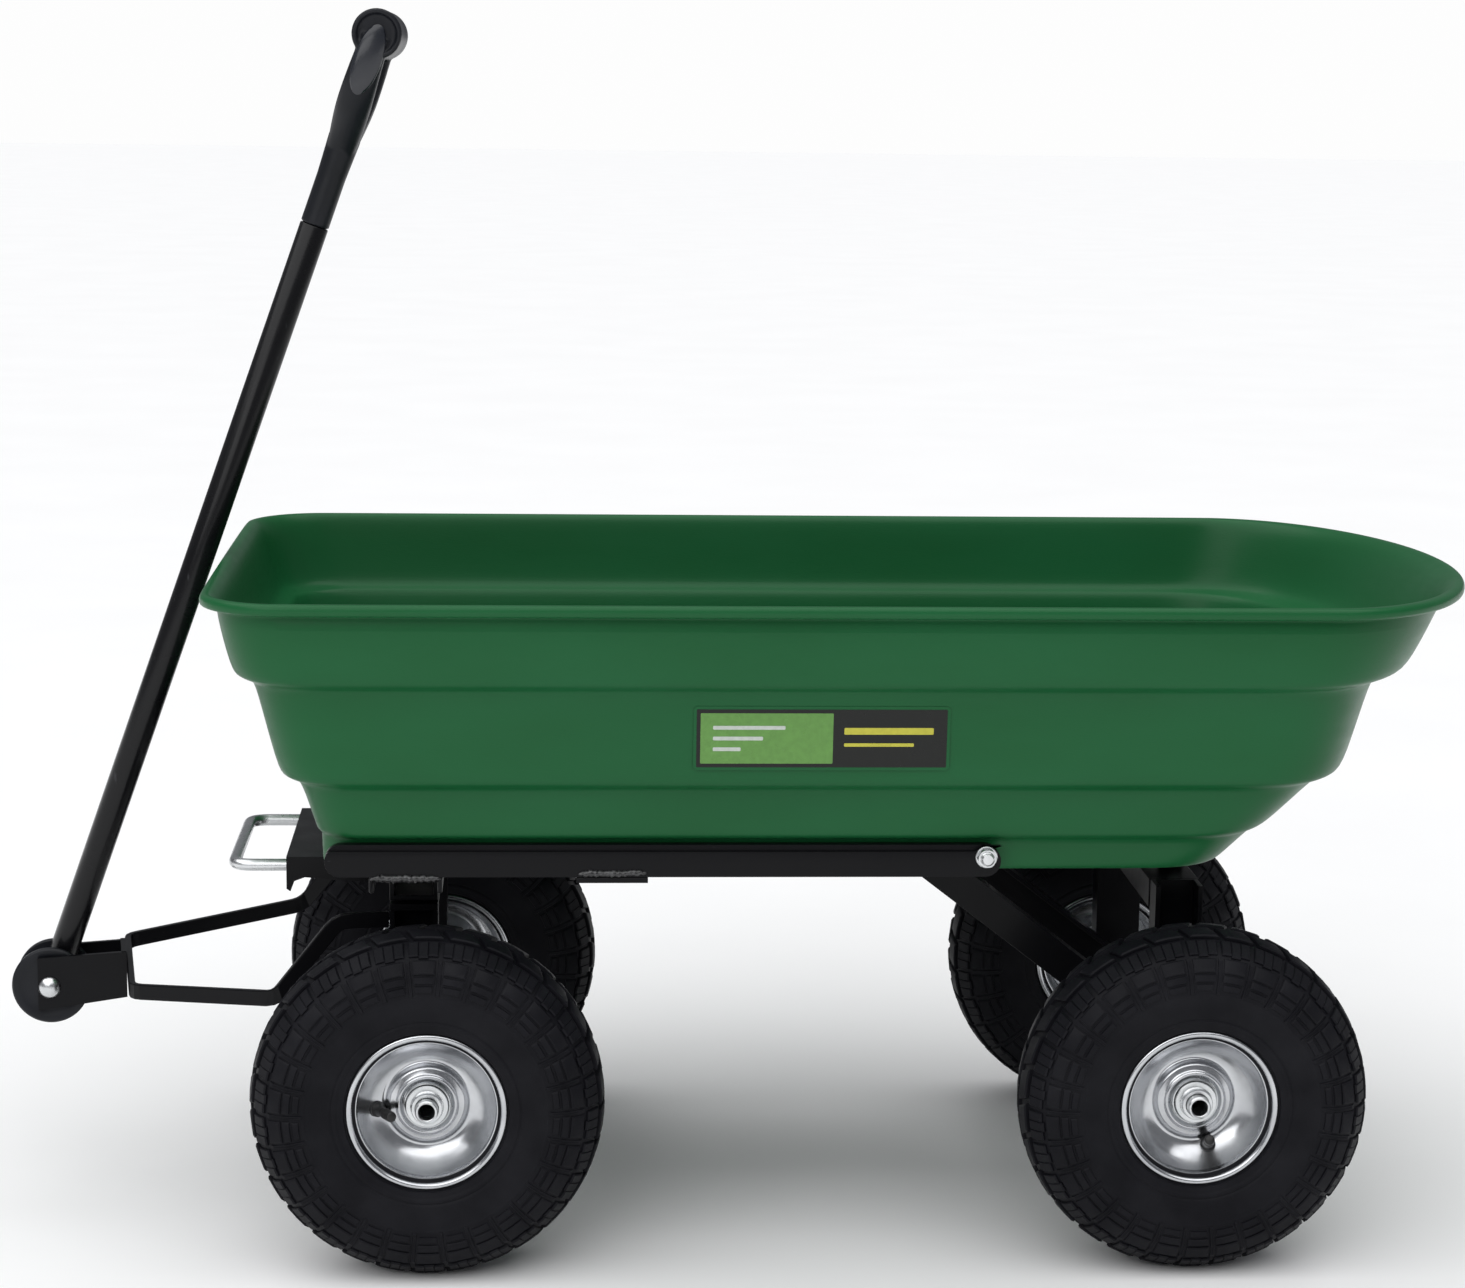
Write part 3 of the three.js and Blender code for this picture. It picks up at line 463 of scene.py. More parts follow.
def outline(level, by=0.0, z=None):
    """A level of the tub as a ring of points, moved in by some millimetres."""
    height, front, rear, half, reach, square, corner = level
    height = height if z is None else z
    front, rear, half = front + by, rear - by, half - by
    corner = max(corner - by, 8)
    straight_end = rear - reach
    points = []
    for i in range(REAR_STEPS + 1):
        turn = math.pi * (i / REAR_STEPS - 0.5)
        out = abs(math.cos(turn)) ** (2 / square)
        across = math.copysign(abs(math.sin(turn)) ** (2 / square), turn)
        points.append((straight_end + reach * out, half * across, height))
    length = straight_end - front - corner
    side = [straight_end - length * i / (SIDE_STEPS + 1) for i in range(1, SIDE_STEPS + 1)]
    points += [(x, half, height) for x in side]
    for sign in (1, -1):
        for i in range(CORNER_STEPS + 1):
            share = i / CORNER_STEPS if sign > 0 else 1 - i / CORNER_STEPS
            turn = share * math.pi / 2
            x = front + corner * (1 - math.sin(turn))
            points.append((x, sign * (half - corner * (1 - math.cos(turn))), height))
    points += [(x, -half, height) for x in reversed(side)]
    return points


def build_tub(shift):
    """The stepped tub as one smooth shell with a rolled lip."""
    foot = LEVELS[0]
    rings = [outline(foot, 12), outline(foot, 2.5), outline(foot, 0, foot[0] + 2.5)]
    rings += [outline(level) for level in LEVELS[1:]]
    rings += [outline(LIP, by, z) for by, z in LIP_SECTION]
    rings.append(outline(LEVELS[-1], TUB_WALL, 494))
    rings += [outline(level, TUB_WALL, level[0] + 1.5) for level in reversed(LEVELS[1:-1])]
    rings += [outline(foot, TUB_WALL, 312), outline(foot, 6, FLOOR_TOP + 1), outline(foot, 12, FLOOR_TOP)]
    rings.append(outline(foot, 40, FLOOR_TOP))
    verts, faces = skin(rings)
    tub = piece("tub_shell", verts, faces, GREEN, Matrix.Translation((shift, 0, 0)), smooth=60)
    subdivide(tub, 2)
    tub.data.shade_smooth()
    return settle(tub, "tub_cradle", "tub_green", "tub")


# ---- Label ----
PANEL_FLARE = 5  # how far the side panel under the label leans out over its height
PANEL_HEIGHT = 64


def build_label():
    """A plain two-tone sticker in a raised moulded frame, without any text."""
    low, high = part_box("side_label")
    length, height = (high.x - low.x) / MM, (high.z - low.z) / MM
    slope = math.atan2(PANEL_FLARE, PANEL_HEIGHT)
    place = Matrix.Translation((low + high) / 2) @ Matrix.Rotation(slope, 4, "X")

    def plate(name, x0, x1, z0, z1, face, colour, edge=0.5):
        """A thin plate whose outer face is `face` millimetres out from the label's middle."""
        corners = [(x0 + edge, z0), (x1 - edge, z0), (x1, z0 + edge), (x1, z1 - edge)]
        corners += [(x1 - edge, z1), (x0 + edge, z1), (x0, z1 - edge), (x0, z0 + edge)]
        verts, faces = slab(corners, -face, 0.9)
        obj = piece(name, verts, faces, colour, place)
        settle(obj, "tub_cradle", "label_film")
        return obj

    a, b = length / 2, height / 2
    border = plate("label_frame", -a, a, -b, b, 0.2, GREEN, 2.0)
    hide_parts("side_label")
    black = film("label_black", (0.008, 0.009, 0.008))
    plate("label_field", -a + 2.2, a - 2.2, -b + 2.2, b - 2.2, 0.35, black)
    plate("label_panel", -a + 5, 8, -b + 5, b - 5, 0.45, film("label_green", (0.13, 0.30, 0.07)))
    bright = film("label_yellow", (0.55, 0.52, 0.06))
    plate("label_stripe_high", 16, a - 12, 3, 8, 0.45, bright)
    plate("label_stripe_low", 16, a - 26, -6, -3.5, 0.45, bright)
    for k, reach in enumerate((10, 26, 42)):
        z = -8 + 8 * k
        pale = film(f"label_pale_{k}", (0.55, 0.60, 0.55))
        plate(f"label_bar_{k}", -a + 14, -a + 24 + reach, z - 1.4, z + 1.4, 0.55, pale)


# ---- Wheels ----
def tyre_point(t, out=0.0):
    """A point (radius, y) of the tyre's outer skin and its height above it. t is 0 at the crown,
    1 at the widest place and 2 at the bead."""
    def at(u):
        if u <= 1:
            turn = u * math.pi / 2
            return (
                93 + 33.6 * math.cos(turn) ** (2 / 2.25),
                (HALF_WIDTH - 1.6) * math.sin(turn) ** (2 / 2.25),
            )
        v = u - 1
        side = HALF_WIDTH - 1.6
        s = 1 - v
        r = 93 * s**3 + 3 * 82 * s * s * v + 3 * 70 * s * v * v + 60.3 * v**3
        y = side * s**3 + 3 * side * s * s * v + 3 * (side - 2.5) * s * v * v + 35.2 * v**3
        return (r, y)

    step = 0.004
    (r0, y0), (r1, y1) = at(max(t - step, 1e-5)), at(min(t + step, 2))
    length = math.hypot(r1 - r0, y1 - y0)
    normal = ((y1 - y0) / length, -(r1 - r0) / length)
    r, y = at(max(t, 1e-6))
    return (r + out * normal[0], y + out * normal[1])


def tread_block(t0, t1, a0, a1, height, mirror, lean=0.0, edge=0.7):
    """A raised block on the tyre between two shares of the section and two angles in degrees."""
    columns, rows = 3, 3
    border = [(i, 0) for i in range(columns)]
    border += [(columns - 1, j) for j in range(1, rows)]
    border += [(i, rows - 1) for i in range(columns - 2, -1, -1)]
    border += [(0, j) for j in range(rows - 2, 0, -1)]
    rings = []
    for grow, out in ((0.02, -0.9), (0.0, height - edge), (-0.09, height)):
        ring = []
        for i, j in border:
            u, v = i / (columns - 1) - 0.5, j / (rows - 1) - 0.5
            t = (t0 + t1) / 2 + (t1 - t0) * v * (1 + 2 * grow)
            angle = (a0 + a1) / 2 + (a1 - a0) * u * (1 + 2 * grow) + lean * v
            r, y = tyre_point(t, out)
            turn = math.radians(angle)
            ring.append((r * math.cos(turn), mirror * y, r * math.sin(turn)))
        rings.append(ring)
    return skin(rings)


def tread():
    """All the blocks and ribs of one tyre, each a closed shell."""
    parts = []
    pitch = 360 / BLOCKS_ROUND
    for n in range(BLOCKS_ROUND):
        start = n * pitch
        for mirror in (1, -1):
            first = start + (pitch / 2 if mirror < 0 else 0)
            tooth = (pitch - 1.7) / 3
            for k in range(3):
                low = 0.545 + (0.03 if k == 1 else 0.0)
                at = first + k * tooth
                parts.append(tread_block(0.30, low, at, first + (k + 1) * tooth, 2.0, mirror))
            parts.append(tread_block(0.60, 0.80, first + 0.9, first + pitch - 2.3, 1.5, mirror))
            parts.append(tread_block(0.825, 0.92, first + 0.9, first + pitch - 2.3, 1.3, mirror))
            parts.append(tread_block(0.945, 1.03, first + 1.2, first + pitch - 2.8, 1.1, mirror))
            parts.append(tread_block(0.59, 1.12, first - 1.5, first + 0.2, 1.0, mirror, edge=0.4))
        parts.append(tread_block(0.03, 0.25, start + 0.6, start + pitch - 1.6, 3.2, 1, lean=2.5))
        other = (start + pitch / 2 + 0.6, start + 1.5 * pitch - 1.6)
        parts.append(tread_block(0.03, 0.25, *other, 3.2, -1, lean=2.5))
    return merged(parts)


def tyre_carcass():
    """The tyre's skin with its bead lines, closed over the bead seat."""
    side = [tyre_point(2 * i / 44) for i in range(45)]
    ridged = []
    for r, y in side:
        ring = 0.7 * math.exp(-(((r - 66.5) / 0.9) ** 2)) - 0.5 * math.exp(-(((r - 68.6) / 0.8) ** 2))
        ring += 0.35 * math.exp(-(((r - 88.5) / 0.8) ** 2))
        ridged.append((r, y + ring))
    fine = []
    for (r0, y0), (r1, y1) in zip(ridged, ridged[1:]):
        fine += [(r0, y0), ((r0 + r1) / 2, (y0 + y1) / 2)]
    fine.append(ridged[-1])
    bead = [(59.9, 34.2), (59.5, 32.6), (52, 30.6), (51.6, 29)]
    half = fine + bead
    profile = half + [(r, -y) for r, y in reversed(half)]
    return revolve(profile, 120)


def build_tyre(name, place):
    verts, faces = merged([tyre_carcass(), tread()])
    tyre = piece(f"tyre_{name}_tread", verts, faces, RUBBER, place, smooth=28)
    return settle(tyre, f"wheel_{name}", "tyre_rubber", f"tyre_{name}")


def rim_profile():
    """Section of the pressed rim as (radius, y), outboard face first."""
    face = [(HUB_R + 0.4, 12), (18.6, 12.4), (19.4, 14.6), (20.4, 15.4), (21.6, 15.2), (22.4, 14.1)]
    face += [(23.6, 13.3), (26.2, 13.0), (27.6, 12.4), (28.8, 10.8), (30, 8.9), (31.6, 8.1), (33.4, 8.4)]
    face += [(37, 10.2), (41, 12.8), (45, 16.8), (47.6, 20)]
    face += [(49.6, 22.8), (51.4, 25.6), (52.8, 28.2), (53.7, 30.6)]
    bead = arc((56.4, 31.4), 2.6, 160, -10, 10)
    outside = [(58.6, 29.9), (55.5, 29.6), (51.0, 28.6), (50.4, 27), (50.3, 17.5), (46.5, 13), (46.5, -13)]
    outside += [(50.3, -17.5), (50.4, -27), (51.0, -28.6), (55.5, -29.6), (58.6, -29.9)]
    inner_bead = [(r, -y) for r, y in reversed(bead)]
    back = [(53.2, -30), (51, -25), (48.5, -21), (46, -18), (44.6, -12), (40, 6.5), (33, 4.5), (29, 6.5)]
    back += [(26, 9.5), (HUB_R + 0.6, 10)]
    return face + bead + outside + inner_bead + back


def build_rim(name, place):
    verts, faces = revolve(rim_profile(), 96)
    rim = piece(f"rim_{name}_pressed", verts, faces, RIM, place, smooth=50)
    settle(rim, f"wheel_{name}", "rim_steel", f"rim_{name}")
    return rim


def build_hub(name, place):
    """Bearing housing with its rolled lip, and the bearing's face set back in it."""
    lip = [(13.5, 14.5), (15.4, 14.5), (15.6, 16.4)]
    lip += [(16.2, HUB_FACE), (16.9, HUB_FACE - 0.2), (HUB_R, HUB_FACE - 1)]
    tail = [(HUB_R, -29), (16.8, -30), (AXLE_R + 0.6, -30), (AXLE_R + 0.6, 14), (13.3, 14)]
    hub = piece(f"hub_{name}_housing", *revolve(lip + tail, 64), ZINC, place, smooth=40)
    return settle(hub, f"wheel_{name}", "zinc_steel", f"hub_{name}")


def build_valve(name, place, turn):
    """Rubber stem with a collar and a ribbed cap, leaning towards the axle."""
    stem = [(0, -1), (5.6, -1), (5.6, 0.6), (4.6, 1.6), (3.9, 4), (3.5, 9), (3.3, 11)]
    stem += [(3.0, 11.4), (3.0, 12.4), (3.9, 12.6), (4.0, 13.2)]
    for k in range(5):
        stem += [(4.0, 14 + 1.8 * k), (3.65, 14.6 + 1.8 * k), (3.65, 15.1 + 1.8 * k)]
    stem += [(4.0, 23), (3.7, 24.6), (2.6, 25.4), (0, 25.6)]
    lean = Matrix.Rotation(0.45, 4, "Z")
    at = Matrix.Rotation(turn, 4, "Y") @ Matrix.Translation((36, 11.5, 0)) @ lean
    verts, faces = moved(revolve(stem, 32, closed=False), at)
    valve = piece(f"valve_{name}_stem", verts, faces, SMOOTH_RUBBER, place, smooth=40)
    return settle(valve, f"wheel_{name}", "valve_rubber", f"valve_{name}")


def build_washer(name, place, body):
    """Retaining washer with a stepped collar, on the axle."""
    washer = [(AXLE_R + 0.4, 17.4), (15.2, 17.4), (15.6, 17.8), (15.6, 19.2), (15.1, 19.7), (12.2, 19.7)]
    washer += [(11.9, 20.0), (11.9, 20.6), (11.4, 20.9), (11.4, 24.6), (10.9, 25.3), (AXLE_R + 0.4, 25.3)]
    obj = piece(f"axle_washer_{name}_ring", *revolve(washer, 56), ZINC, place, smooth=40)
    return settle(obj, body, "zinc_steel", f"axle_washer_{name}")


def build_axle(end, body):
    """Hollow axle across the cart, with a chamfered end and an open bore."""
    reach = HALF_TRACK + AXLE_END_Y
    outer = [(AXLE_BORE_R, -reach + 0.4), (AXLE_BORE_R + 0.5, -reach)]
    outer += [(AXLE_R - 0.9, -reach), (AXLE_R - 0.1, -reach + 0.9)]
    profile = outer + [(r, -y) for r, y in reversed(outer)]
    centre = middle(f"{end}_axle")
    place = Matrix.Translation(centre)
    axle = piece(f"{end}_axle_tube", *revolve(profile, 48), ZINC, place, smooth=40)
    return settle(axle, body, "zinc_steel", f"{end}_axle")


VALVE_TURN = {"front_left": 0.12, "front_right": 2.2, "rear_left": 1.9, "rear_right": -0.8}


def build_wheel(name):
    centre = middle(f"rim_{name}")
    facing = Matrix.Rotation(math.pi if centre.y < 0 else 0, 4, "Z")
    place = Matrix.Translation(centre) @ facing
    build_tyre(name, place)
    build_rim(name, place)
    build_hub(name, place)
    build_valve(name, place, VALVE_TURN[name])
    build_washer(name, place, "steering" if name.startswith("front") else "chassis")


# ---- Handle ----
def handle_place():
    return Matrix.Translation(joint_point("handle_swing")) @ Matrix.Rotation(HANDLE_LEAN, 4, "Y")


def upright(profile, segments=64, closed=True):
    """A shell turned about Z from (radius, z) points."""
    verts, faces = revolve(profile, segments, closed)
    return [Vector((v.x, v.z, v.y)) for v in verts], faces


def build_shaft(place):
    wall = 1.8
    bottom, top = -13.8, SHAFT_LENGTH
    profile = [(SHAFT_R - wall, bottom), (SHAFT_R - 0.5, bottom), (SHAFT_R, bottom + 0.6)]
    profile += [(SHAFT_R, top - 0.6), (SHAFT_R - 0.5, top), (SHAFT_R - wall, top)]
    shaft = piece("handle_tube", *upright(profile), TUBE_PAINT, place, smooth=40)
    return settle(shaft, "handle", "frame_black", "handle_shaft")


def grip_arm(side):
    """One arm of the D, from the neck out to the end of the bar."""
    ends = (Vector((0, 0, 690)), Vector((0, side * 52, GRIP_AT - 2)))
    pulls = (Vector((0, side * 16, 722)), Vector((0, side * 53, 722)))
    path = bezier([ends[0], *pulls, ends[1]], 24)
    rings = []
    last = len(path) - 1
    for i, point in enumerate(path):
        along = (path[min(i + 1, last)] - path[max(i - 1, 0)]).normalized()
        across = Vector((1, 0, 0)).cross(along).normalized()
        share = i / last
        deep = 11 + 2.2 * math.sin(math.pi * share)
        thick = 10.5 - 3.6 * share
        ring = []
        for k in range(24):
            turn = 2 * math.pi * k / 24
            c, s = math.cos(turn), math.sin(turn)
            ring.append(
                point
                + Vector((1, 0, 0)) * (deep * math.copysign(abs(c) ** 0.75, c))
                + across * (thick * math.copysign(abs(s) ** 0.75, s))
            )
        rings.append(ring)
    return skin(rings)


def grip_bar():
    """The fat cross bar, with a recess in each end."""
    end = [(0, GRIP_HALF - 4), (13.6, GRIP_HALF - 4), (14.6, GRIP_HALF - 3), (15, GRIP_HALF - 0.8)]
    end += arc((GRIP_BAR_R - 2.2, GRIP_HALF - 2.2), 2.2, 90, 0, 4)
    belly = [(GRIP_BAR_R, 30), (GRIP_BAR_R - 0.6, 10)]
    half = end + belly
    profile = half + [(r, -y) for r, y in reversed(half)]
    verts, faces = revolve(profile, 64, closed=False)
    return [v + Vector((0, 0, GRIP_AT)) for v in verts], faces


def build_grip(place):
    """D-grip: bar, two arms and neck grown together, then smoothed."""
    neck = [(0, SHAFT_LENGTH + 0.4), (SHAFT_R - 0.3, SHAFT_LENGTH + 0.4), (SHAFT_R, SHAFT_LENGTH + 1.2)]
    neck += [(SHAFT_R, 668), (SHAFT_R + 1.4, 700), (0, 712)]
    neck_part = upright(neck, 48, closed=False)
    verts, faces = merged([neck_part, grip_arm(1), grip_arm(-1), grip_bar()])
    grip = piece("d_grip_body", verts, faces, PLASTIC)
    remesh = grip.modifiers.new("Remesh", "REMESH")
    remesh.mode = "VOXEL"
    remesh.voxel_size = 0.0011
    soften = grip.modifiers.new("Smooth", "SMOOTH")
    soften.factor = 0.5
    soften.iterations = 5
    bake(grip)
    grip.data.transform(place)
    grip.data.shade_smooth()
    settle(grip, "handle", "grip_black", "d_grip")
    for name, side in SIDES.items():
        build_grip_pad(name, side, place)


def build_grip_pad(name, side, place):
    """The long oval facet on the outside of each arm."""
    rings = []
    for share, out in ((1.0, -2.0), (1.0, 0.2), (0.9, 1.2), (0.6, 1.9), (0.25, 2.2)):
        ring = []
        for k in range(40):
            turn = 2 * math.pi * k / 40
            x = 10.5 * share * math.cos(turn)
            z = 27 * share * math.sin(turn)
            ring.append((x, side * (57.9 + out - 0.0016 * (z - 6) ** 2), GRIP_AT - 20 + z))
        rings.append(ring)
    verts, faces = skin(rings)
    pad = piece(f"grip_pad_{name}", verts, faces, PAD, place, smooth=60)
    settle(pad, "handle", "grip_black")


def build_pivot_discs(place):
    for name, side in SIDES.items():
        inner, outer = 11.3, 16.7
        profile = [(5.4, inner), (DISC_R - 1, inner), (DISC_R, inner + 1)]
        profile += [(DISC_R, outer - 1.2), (DISC_R - 1.4, outer)]
        profile += [(24, outer), (23, outer - 0.6), (9, outer - 0.6), (8, outer), (5.4, outer)]
        verts, faces = revolve([(r, side * y) for r, y in profile], 72)
        disc = piece(f"pivot_disc_{name}_plastic", verts, faces, PLASTIC, place, smooth=40)
        settle(disc, "handle", "grip_black", f"pivot_disc_{name}")


def build_pivot_bolt():
    """Dome-headed bolt through the clevis and a chamfered lock nut with a nylon ring."""
    place = Matrix.Translation(joint_point("handle_swing"))
    face = 21.4
    dome = [(0, -face - 5.4), (2.5, -face - 5.2), (5, -face - 4.3)]
    dome += [(7.2, -face - 2.7), (8.5, -face - 0.9), (8.6, -face)]
    dome += [(5, -face + 0.4), (5, face + 8.4), (4.4, face + 9), (0, face + 9)]
    bolt = piece("pivot_bolt_domed", *revolve(dome, 40, closed=False), ZINC, place, smooth=50)
    settle(bolt, "steering", "zinc_steel", "pivot_bolt")
    nut = piece("pivot_nut_hex", *lock_nut(8, 5.3, face, 6, 1), ZINC, place, smooth=25)
    settle(nut, "steering", "zinc_steel", "pivot_nut")


def lock_nut(radius, bore, start, height, side):
    """A hexagon nut with chamfered corners and a round collar on its outer face."""
    flat = radius * math.cos(math.pi / 6)
    rings = []
    count = 48
    heights = [(0, 0.94), (0.08, 1.0), (0.80, 1.0), (1.0, 0.90)]
    for share, limit in heights:
        ring = []
        for k in range(count):
            turn = 2 * math.pi * k / count
            sector = (turn % (math.pi / 3)) - math.pi / 6
            r = min(flat / math.cos(sector), radius * limit)
            ring.append((r, turn, start + height * share))
        rings.append(ring)
    collar = [(radius * 0.72, height), (radius * 0.70, height + 1.2)]
    collar += [(radius * 0.62, height + 1.8), (bore, height + 1.8)]
    for r, y in collar:
        rings.append([(r, 2 * math.pi * k / count, start + y) for k in range(count)])
    rings.append([(bore, 2 * math.pi * k / count, start) for k in range(count)])
    points = [point for ring in rings for point in ring]
    verts = [Vector((r * math.cos(t), side * y, r * math.sin(t))) for r, t, y in points]
    faces = []
    total = len(rings)
    for row in range(total):
        for k in range(count):
            j = (k + 1) % count
            after = (row + 1) % total
            faces.append((row * count + k, row * count + j, after * count + j, after * count + k))
    return verts, faces


# ---- Rails, bolts and welds ----
RAIL_FACE = 209.5  # outer face of the side rails from the centre line
LEG_FACE = 112  # inner face of the legs


def mirrored(part, side):
    """A shell as it is on the right side (+1), or flipped to the left side (-1)."""
    verts, faces = part
    return [Vector((v.x, side * v.y, v.z)) for v in verts], faces


def build_rail(name, side):
    """Side rail: a face strip with rounded ends and a lower, rolled top edge along most of it."""
    low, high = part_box(f"rail_{name}")
    x0, x1 = low.x / MM, high.x / MM
    z0, z1 = low.z / MM, high.z / MM
    radius = (z1 - z0) / 2
    mid = (z0 + z1) / 2
    inner, outer = sorted((abs(low.y) / MM, abs(high.y) / MM))
    front_end = [(x0 + radius + radius * math.cos(t), mid + radius * math.sin(t)) for t in half_turn(90)]
    rear_end = [(x1 - radius + radius * math.cos(t), mid + radius * math.sin(t)) for t in half_turn(-90)]
    back = slab(front_end + rear_end, side * inner, side * (outer - 4.5))
    top = z1 - 4.2
    front_low = [(x, min(z, top)) for x, z in front_end if z <= top + 3]
    ramp_x = x1 - 2.2 * radius
    rise = [(ramp_x + 5 * k, top + (z1 - top) * (k / 5) ** 2) for k in range(6)]
    face = slab(front_low + rear_end + list(reversed(rise)), side * (outer - 4.5), side * outer)
    verts, faces = merged([back, face])
    rail = piece(f"rail_{name}_pressed", verts, faces, PAINT, smooth=40)
    bevel(rail, 0.9, 3)
    bake(rail)
    rail.data.shade_smooth()
    rail.data.set_sharp_from_angle(angle=math.radians(40))
    settle(rail, "tub_cradle", "frame_black", f"rail_{name}")


def half_turn(start):
    return [math.radians(start + 180 * k / 12) for k in range(13)]


def build_rail_bolt(name, side):
    """Washer, hexagon lock nut with its collar, and the bolt's end."""
    centre = middle(f"rail_bolt_{name}")
    place = Matrix.Translation((centre.x, 0, centre.z))
    face = RAIL_FACE + 0.3
    washer = [(4, face), (7.7, face), (8, face + 0.3), (8, face + 1.3), (7.7, face + 1.6), (4, face + 1.6)]
    end = [(0, 196.6), (3.5, 196.6), (3.5, face), (4.4, face + 6)]
    end += [(4.4, face + 9.0), (3.7, face + 9.8), (0, face + 9.8)]
    parts = [mirrored(revolve(washer, 48), side), mirrored(revolve(end, 40, closed=False), side)]
    parts.append(lock_nut(7.4, 4.5, face + 1.7, 5, side))
    verts, faces = merged(parts)
    bolt = piece(f"rail_bolt_{name}_set", verts, faces, ZINC, place, smooth=28)
    settle(bolt, "tub_cradle", "zinc_steel", f"rail_bolt_{name}")


def weld_bead(name, start, end, radius, body, seed):
    """A lumpy bead of weld between two points, in millimetres."""
    rng = random.Random(seed)
    steps = max(int((end - start).length / 1.2), 8)
    path = []
    for i in range(steps + 1):
        wander = Vector((0, 0, rng.uniform(-0.5, 0.5)))
        path.append(start.lerp(end, i / steps) + wander)
    lumps = [rng.uniform(0.72, 1.0) for _ in range(steps + 1)]

    def size(share):
        taper = min(1, 6 * share + 0.3, 6 * (1 - share) + 0.3)
        ripple = 0.86 + 0.14 * math.sin(share * steps * 1.9)
        return radius * taper * ripple * lumps[round(share * steps)]

    verts, faces = sweep(path, size, 12)
    bead = piece(name, verts, faces, WELD, smooth=70)
    settle(bead, body, "frame_black")


def build_welds():
    face = RAIL_FACE - 0.2
    for name, side in SIDES.items():
        for strap, z, drop in (("front_strap", 297.2, 3.4), ("mid_strap", 300.5, 3.2)):
            low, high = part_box(strap)
            start = Vector((low.x / MM + 1, side * face, z))
            end = Vector((high.x / MM - 1, side * face, z + (0.8 if strap == "mid_strap" else 0)))
            weld_bead(f"weld_{strap}_{name}", start, end, drop, "tub_cradle", f"{strap}{name}")
    for name, side in SIDES.items():
        low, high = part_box(f"front_leg_{name}")
        y = side * LEG_FACE
        start = Vector((low.x / MM + 2, y - side * 0.6, high.z / MM - 1.2))
        end = Vector((high.x / MM - 2, y - side * 0.6, high.z / MM - 1.2))
        weld_bead(f"weld_front_leg_{name}", start, end, 2.4, "steering", f"leg{name}")


def bevel(obj, width, segments=2, angle=30):
    modifier = obj.modifiers.new("Bevel", "BEVEL")
    modifier.width = width * MM
    modifier.segments = segments
    modifier.limit_method = "ANGLE"
    modifier.angle_limit = math.radians(angle)
    modifier.use_clamp_overlap = True


# ---- Latch loop ----
def build_bail():
    """The bent rod loop of the release lever."""
    low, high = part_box("release_bail")
    r = 4.6
    z = (low.z + high.z) / 2 / MM
    front, back = low.x / MM + 4.7, high.x / MM
    half = high.y / MM - 4.7
    corners = [Vector((x, y, z)) for x, y in ((back, -half), (front, -half), (front, half), (back, half))]
    verts, faces = sweep(rounded_path(corners, 15, 12), r, 24)
    bail = piece("release_bail_rod", verts, faces, ZINC, smooth=50)
    settle(bail, "latch", "zinc_steel", "release_bail")


# ---- Steel parts kept from the frame ----
# Each with the width of its softened edges.
KEPT_STEEL = {
    "front_strap": 1.2,
    "mid_strap": 0.8,
    "tip_hinge_plate": 0.8,
    "latch_bracket": 0.8,
    "latch_plate": 0.8,
    "front_crossbeam": 1.0,
    "chassis_spine": 1.0,
    "rear_crossbeam": 1.0,
    "rear_leg_left": 1.1,
    "rear_leg_right": 1.1,
    "brace_left": 0.9,
    "brace_right": 0.9,
    "brace_crossbar": 1.0,
    "front_leg_left": 1.1,
    "front_leg_right": 1.1,
    "steering_plate": 0.8,
    "front_axle_beam": 1.1,
    "rear_axle_beam": 1.1,
    "drawbar": 0.8,
    "clevis": 0.9,
}


def dress(node, material_, width):
    """Gives a frame node its material, and softens its edges."""
    obj = frame["nodes"][node]
    obj.data.materials.clear()
    obj.data.materials.append(material_)
    weld = obj.modifiers.new("Weld", "WELD")
    weld.merge_threshold = 0.00002
    bevel(obj, width, 2)


def dress_frame():
    for node, width in KEPT_STEEL.items():
        dress(node, PAINT, width)
    dress("turntable_disc", PLASTIC, 0.4)
    for node in ("latch_pin", "tip_pin", "kingpin"):
        dress(node, ZINC, 0.4)


# ---- Stage, light and camera ----
def build_floor():
    size = 40
    verts = [(-size, -size, 0), (size, -size, 0), (size, size, 0), (-size, size, 0)]
    floor = piece("floor", verts, [(0, 1, 2, 3)], pale_floor(), scale=1)


def area_light(name, place, target, size, power, colour=(1, 1, 1)):
    data = bpy.data.lights.new(name, "AREA")
    data.shape = "RECTANGLE"
    data.size, data.size_y = size
    data.energy = power
    data.color = colour
    light = bpy.data.objects.new(name, data)
    light.location = place
    light.rotation_euler = (Vector(target) - Vector(place)).to_track_quat("-Z", "Y").to_euler()
    bpy.context.scene.collection.objects.link(light)


def soft_sun(name, direction, strength, spread):
    """A distant light with a wide disc, for even light with soft shadows."""
    data = bpy.data.lights.new(name, "SUN")
    data.energy = strength
    data.angle = math.radians(spread)
    light = bpy.data.objects.new(name, data)
    light.rotation_euler = Vector(direction).to_track_quat("-Z", "Y").to_euler()
    bpy.context.scene.collection.objects.link(light)


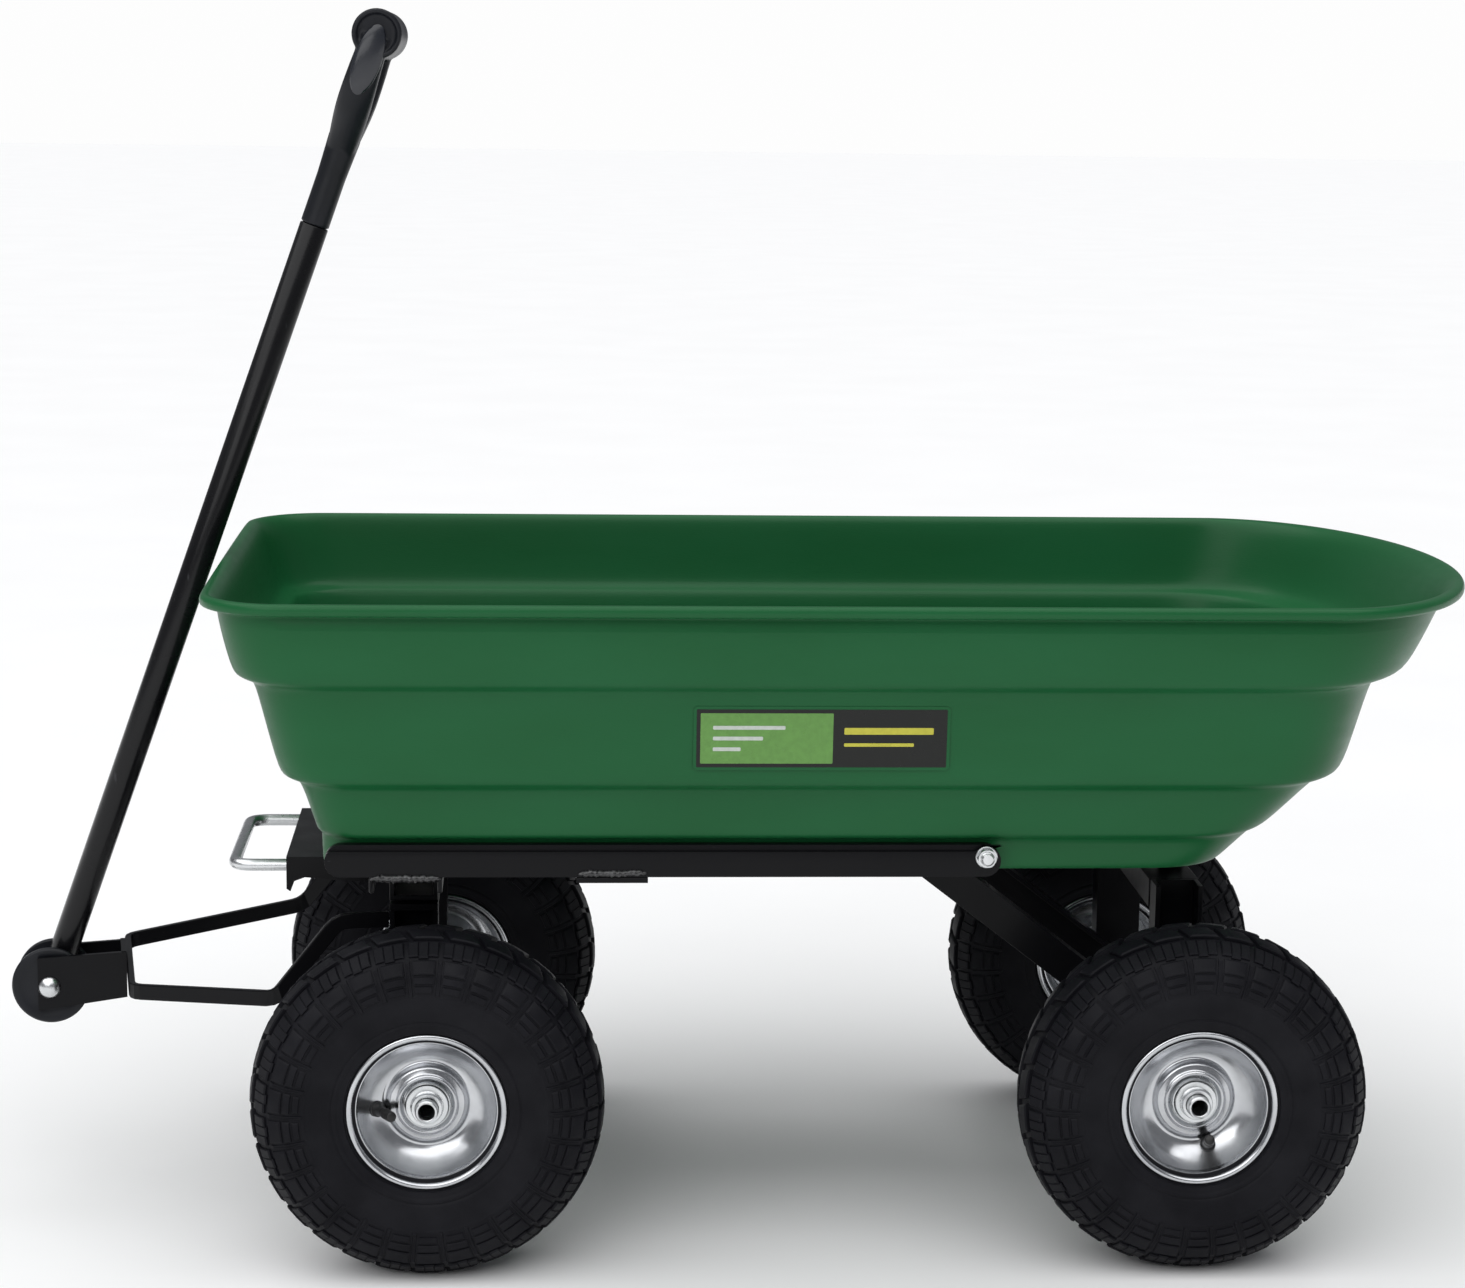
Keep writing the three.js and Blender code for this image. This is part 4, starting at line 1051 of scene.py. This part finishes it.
def build_light():
    soft_sun("sky", (0.15, 0.25, -1), 2.9, 95)
    area_light("front_panel", (-1.6, -3.2, 1.7), (0, 0, 0.3), (2.4, 1.2), 16)
    bpy.context.scene.view_settings.view_transform = "Standard"
    world = bpy.data.worlds.new("studio")
    bpy.context.scene.world = world
    world.use_nodes = True
    nodes, links = world.node_tree.nodes, world.node_tree.links
    back = nodes["Background"]
    back.inputs["Color"].default_value = (0.93, 0.95, 1.0, 1)
    back.inputs["Strength"].default_value = 0.22
    seen = nodes.new("ShaderNodeBackground")
    seen.inputs["Color"].default_value = (0.985, 0.985, 0.985, 1)
    seen.inputs["Strength"].default_value = 1.0
    path = nodes.new("ShaderNodeLightPath")
    mix = nodes.new("ShaderNodeMixShader")
    links.new(path.outputs["Is Camera Ray"], mix.inputs["Fac"])
    links.new(back.outputs["Background"], mix.inputs[1])
    links.new(seen.outputs["Background"], mix.inputs[2])
    links.new(mix.outputs["Shader"], nodes["World Output"].inputs["Surface"])


def build_camera(shift):
    """The camera's place is in millimetres from the wheelbase's middle, its lens for a 36 mm sensor."""
    yaw, pitch, roll = (math.radians(a) for a in (3.54, 10.10, 0.79))
    forward = Vector((math.sin(yaw) * math.cos(pitch), math.cos(yaw) * math.cos(pitch), -math.sin(pitch)))
    right = forward.cross(Vector((0, 0, 1))).normalized()
    up = right.cross(forward)
    turned_right = right * math.cos(roll) + up * math.sin(roll)
    turned_up = up * math.cos(roll) - right * math.sin(roll)
    data = bpy.data.cameras.new("camera")
    data.sensor_width = 36
    data.lens = 79.2
    data.shift_y = 0.010
    data.clip_end = 100
    camera = bpy.data.objects.new("camera", data)
    axes = Matrix((turned_right, turned_up, -forward)).transposed().to_4x4()
    place = Vector((-204.6 * MM + shift, -2486.3 * MM, 865.9 * MM))
    camera.matrix_world = Matrix.Translation(place) @ axes
    bpy.context.scene.collection.objects.link(camera)
    bpy.context.scene.camera = camera


def main():
    rear, front = middle("rear_axle"), middle("front_axle")
    shift = (rear.x + front.x) / 2
    build_camera(shift)
    build_light()
    build_floor()
    build_tub(shift)
    build_label()
    for name in WHEELS:
        build_wheel(name)
    build_axle("front", "steering")
    build_axle("rear", "chassis")
    place = handle_place()
    build_shaft(place)
    build_grip(place)
    build_pivot_discs(place)
    build_pivot_bolt()
    for name, side in SIDES.items():
        build_rail(name, side)
        build_rail_bolt(name, side)
    build_welds()
    build_bail()
    dress_frame()


main()
bpy.context.view_layer.update()
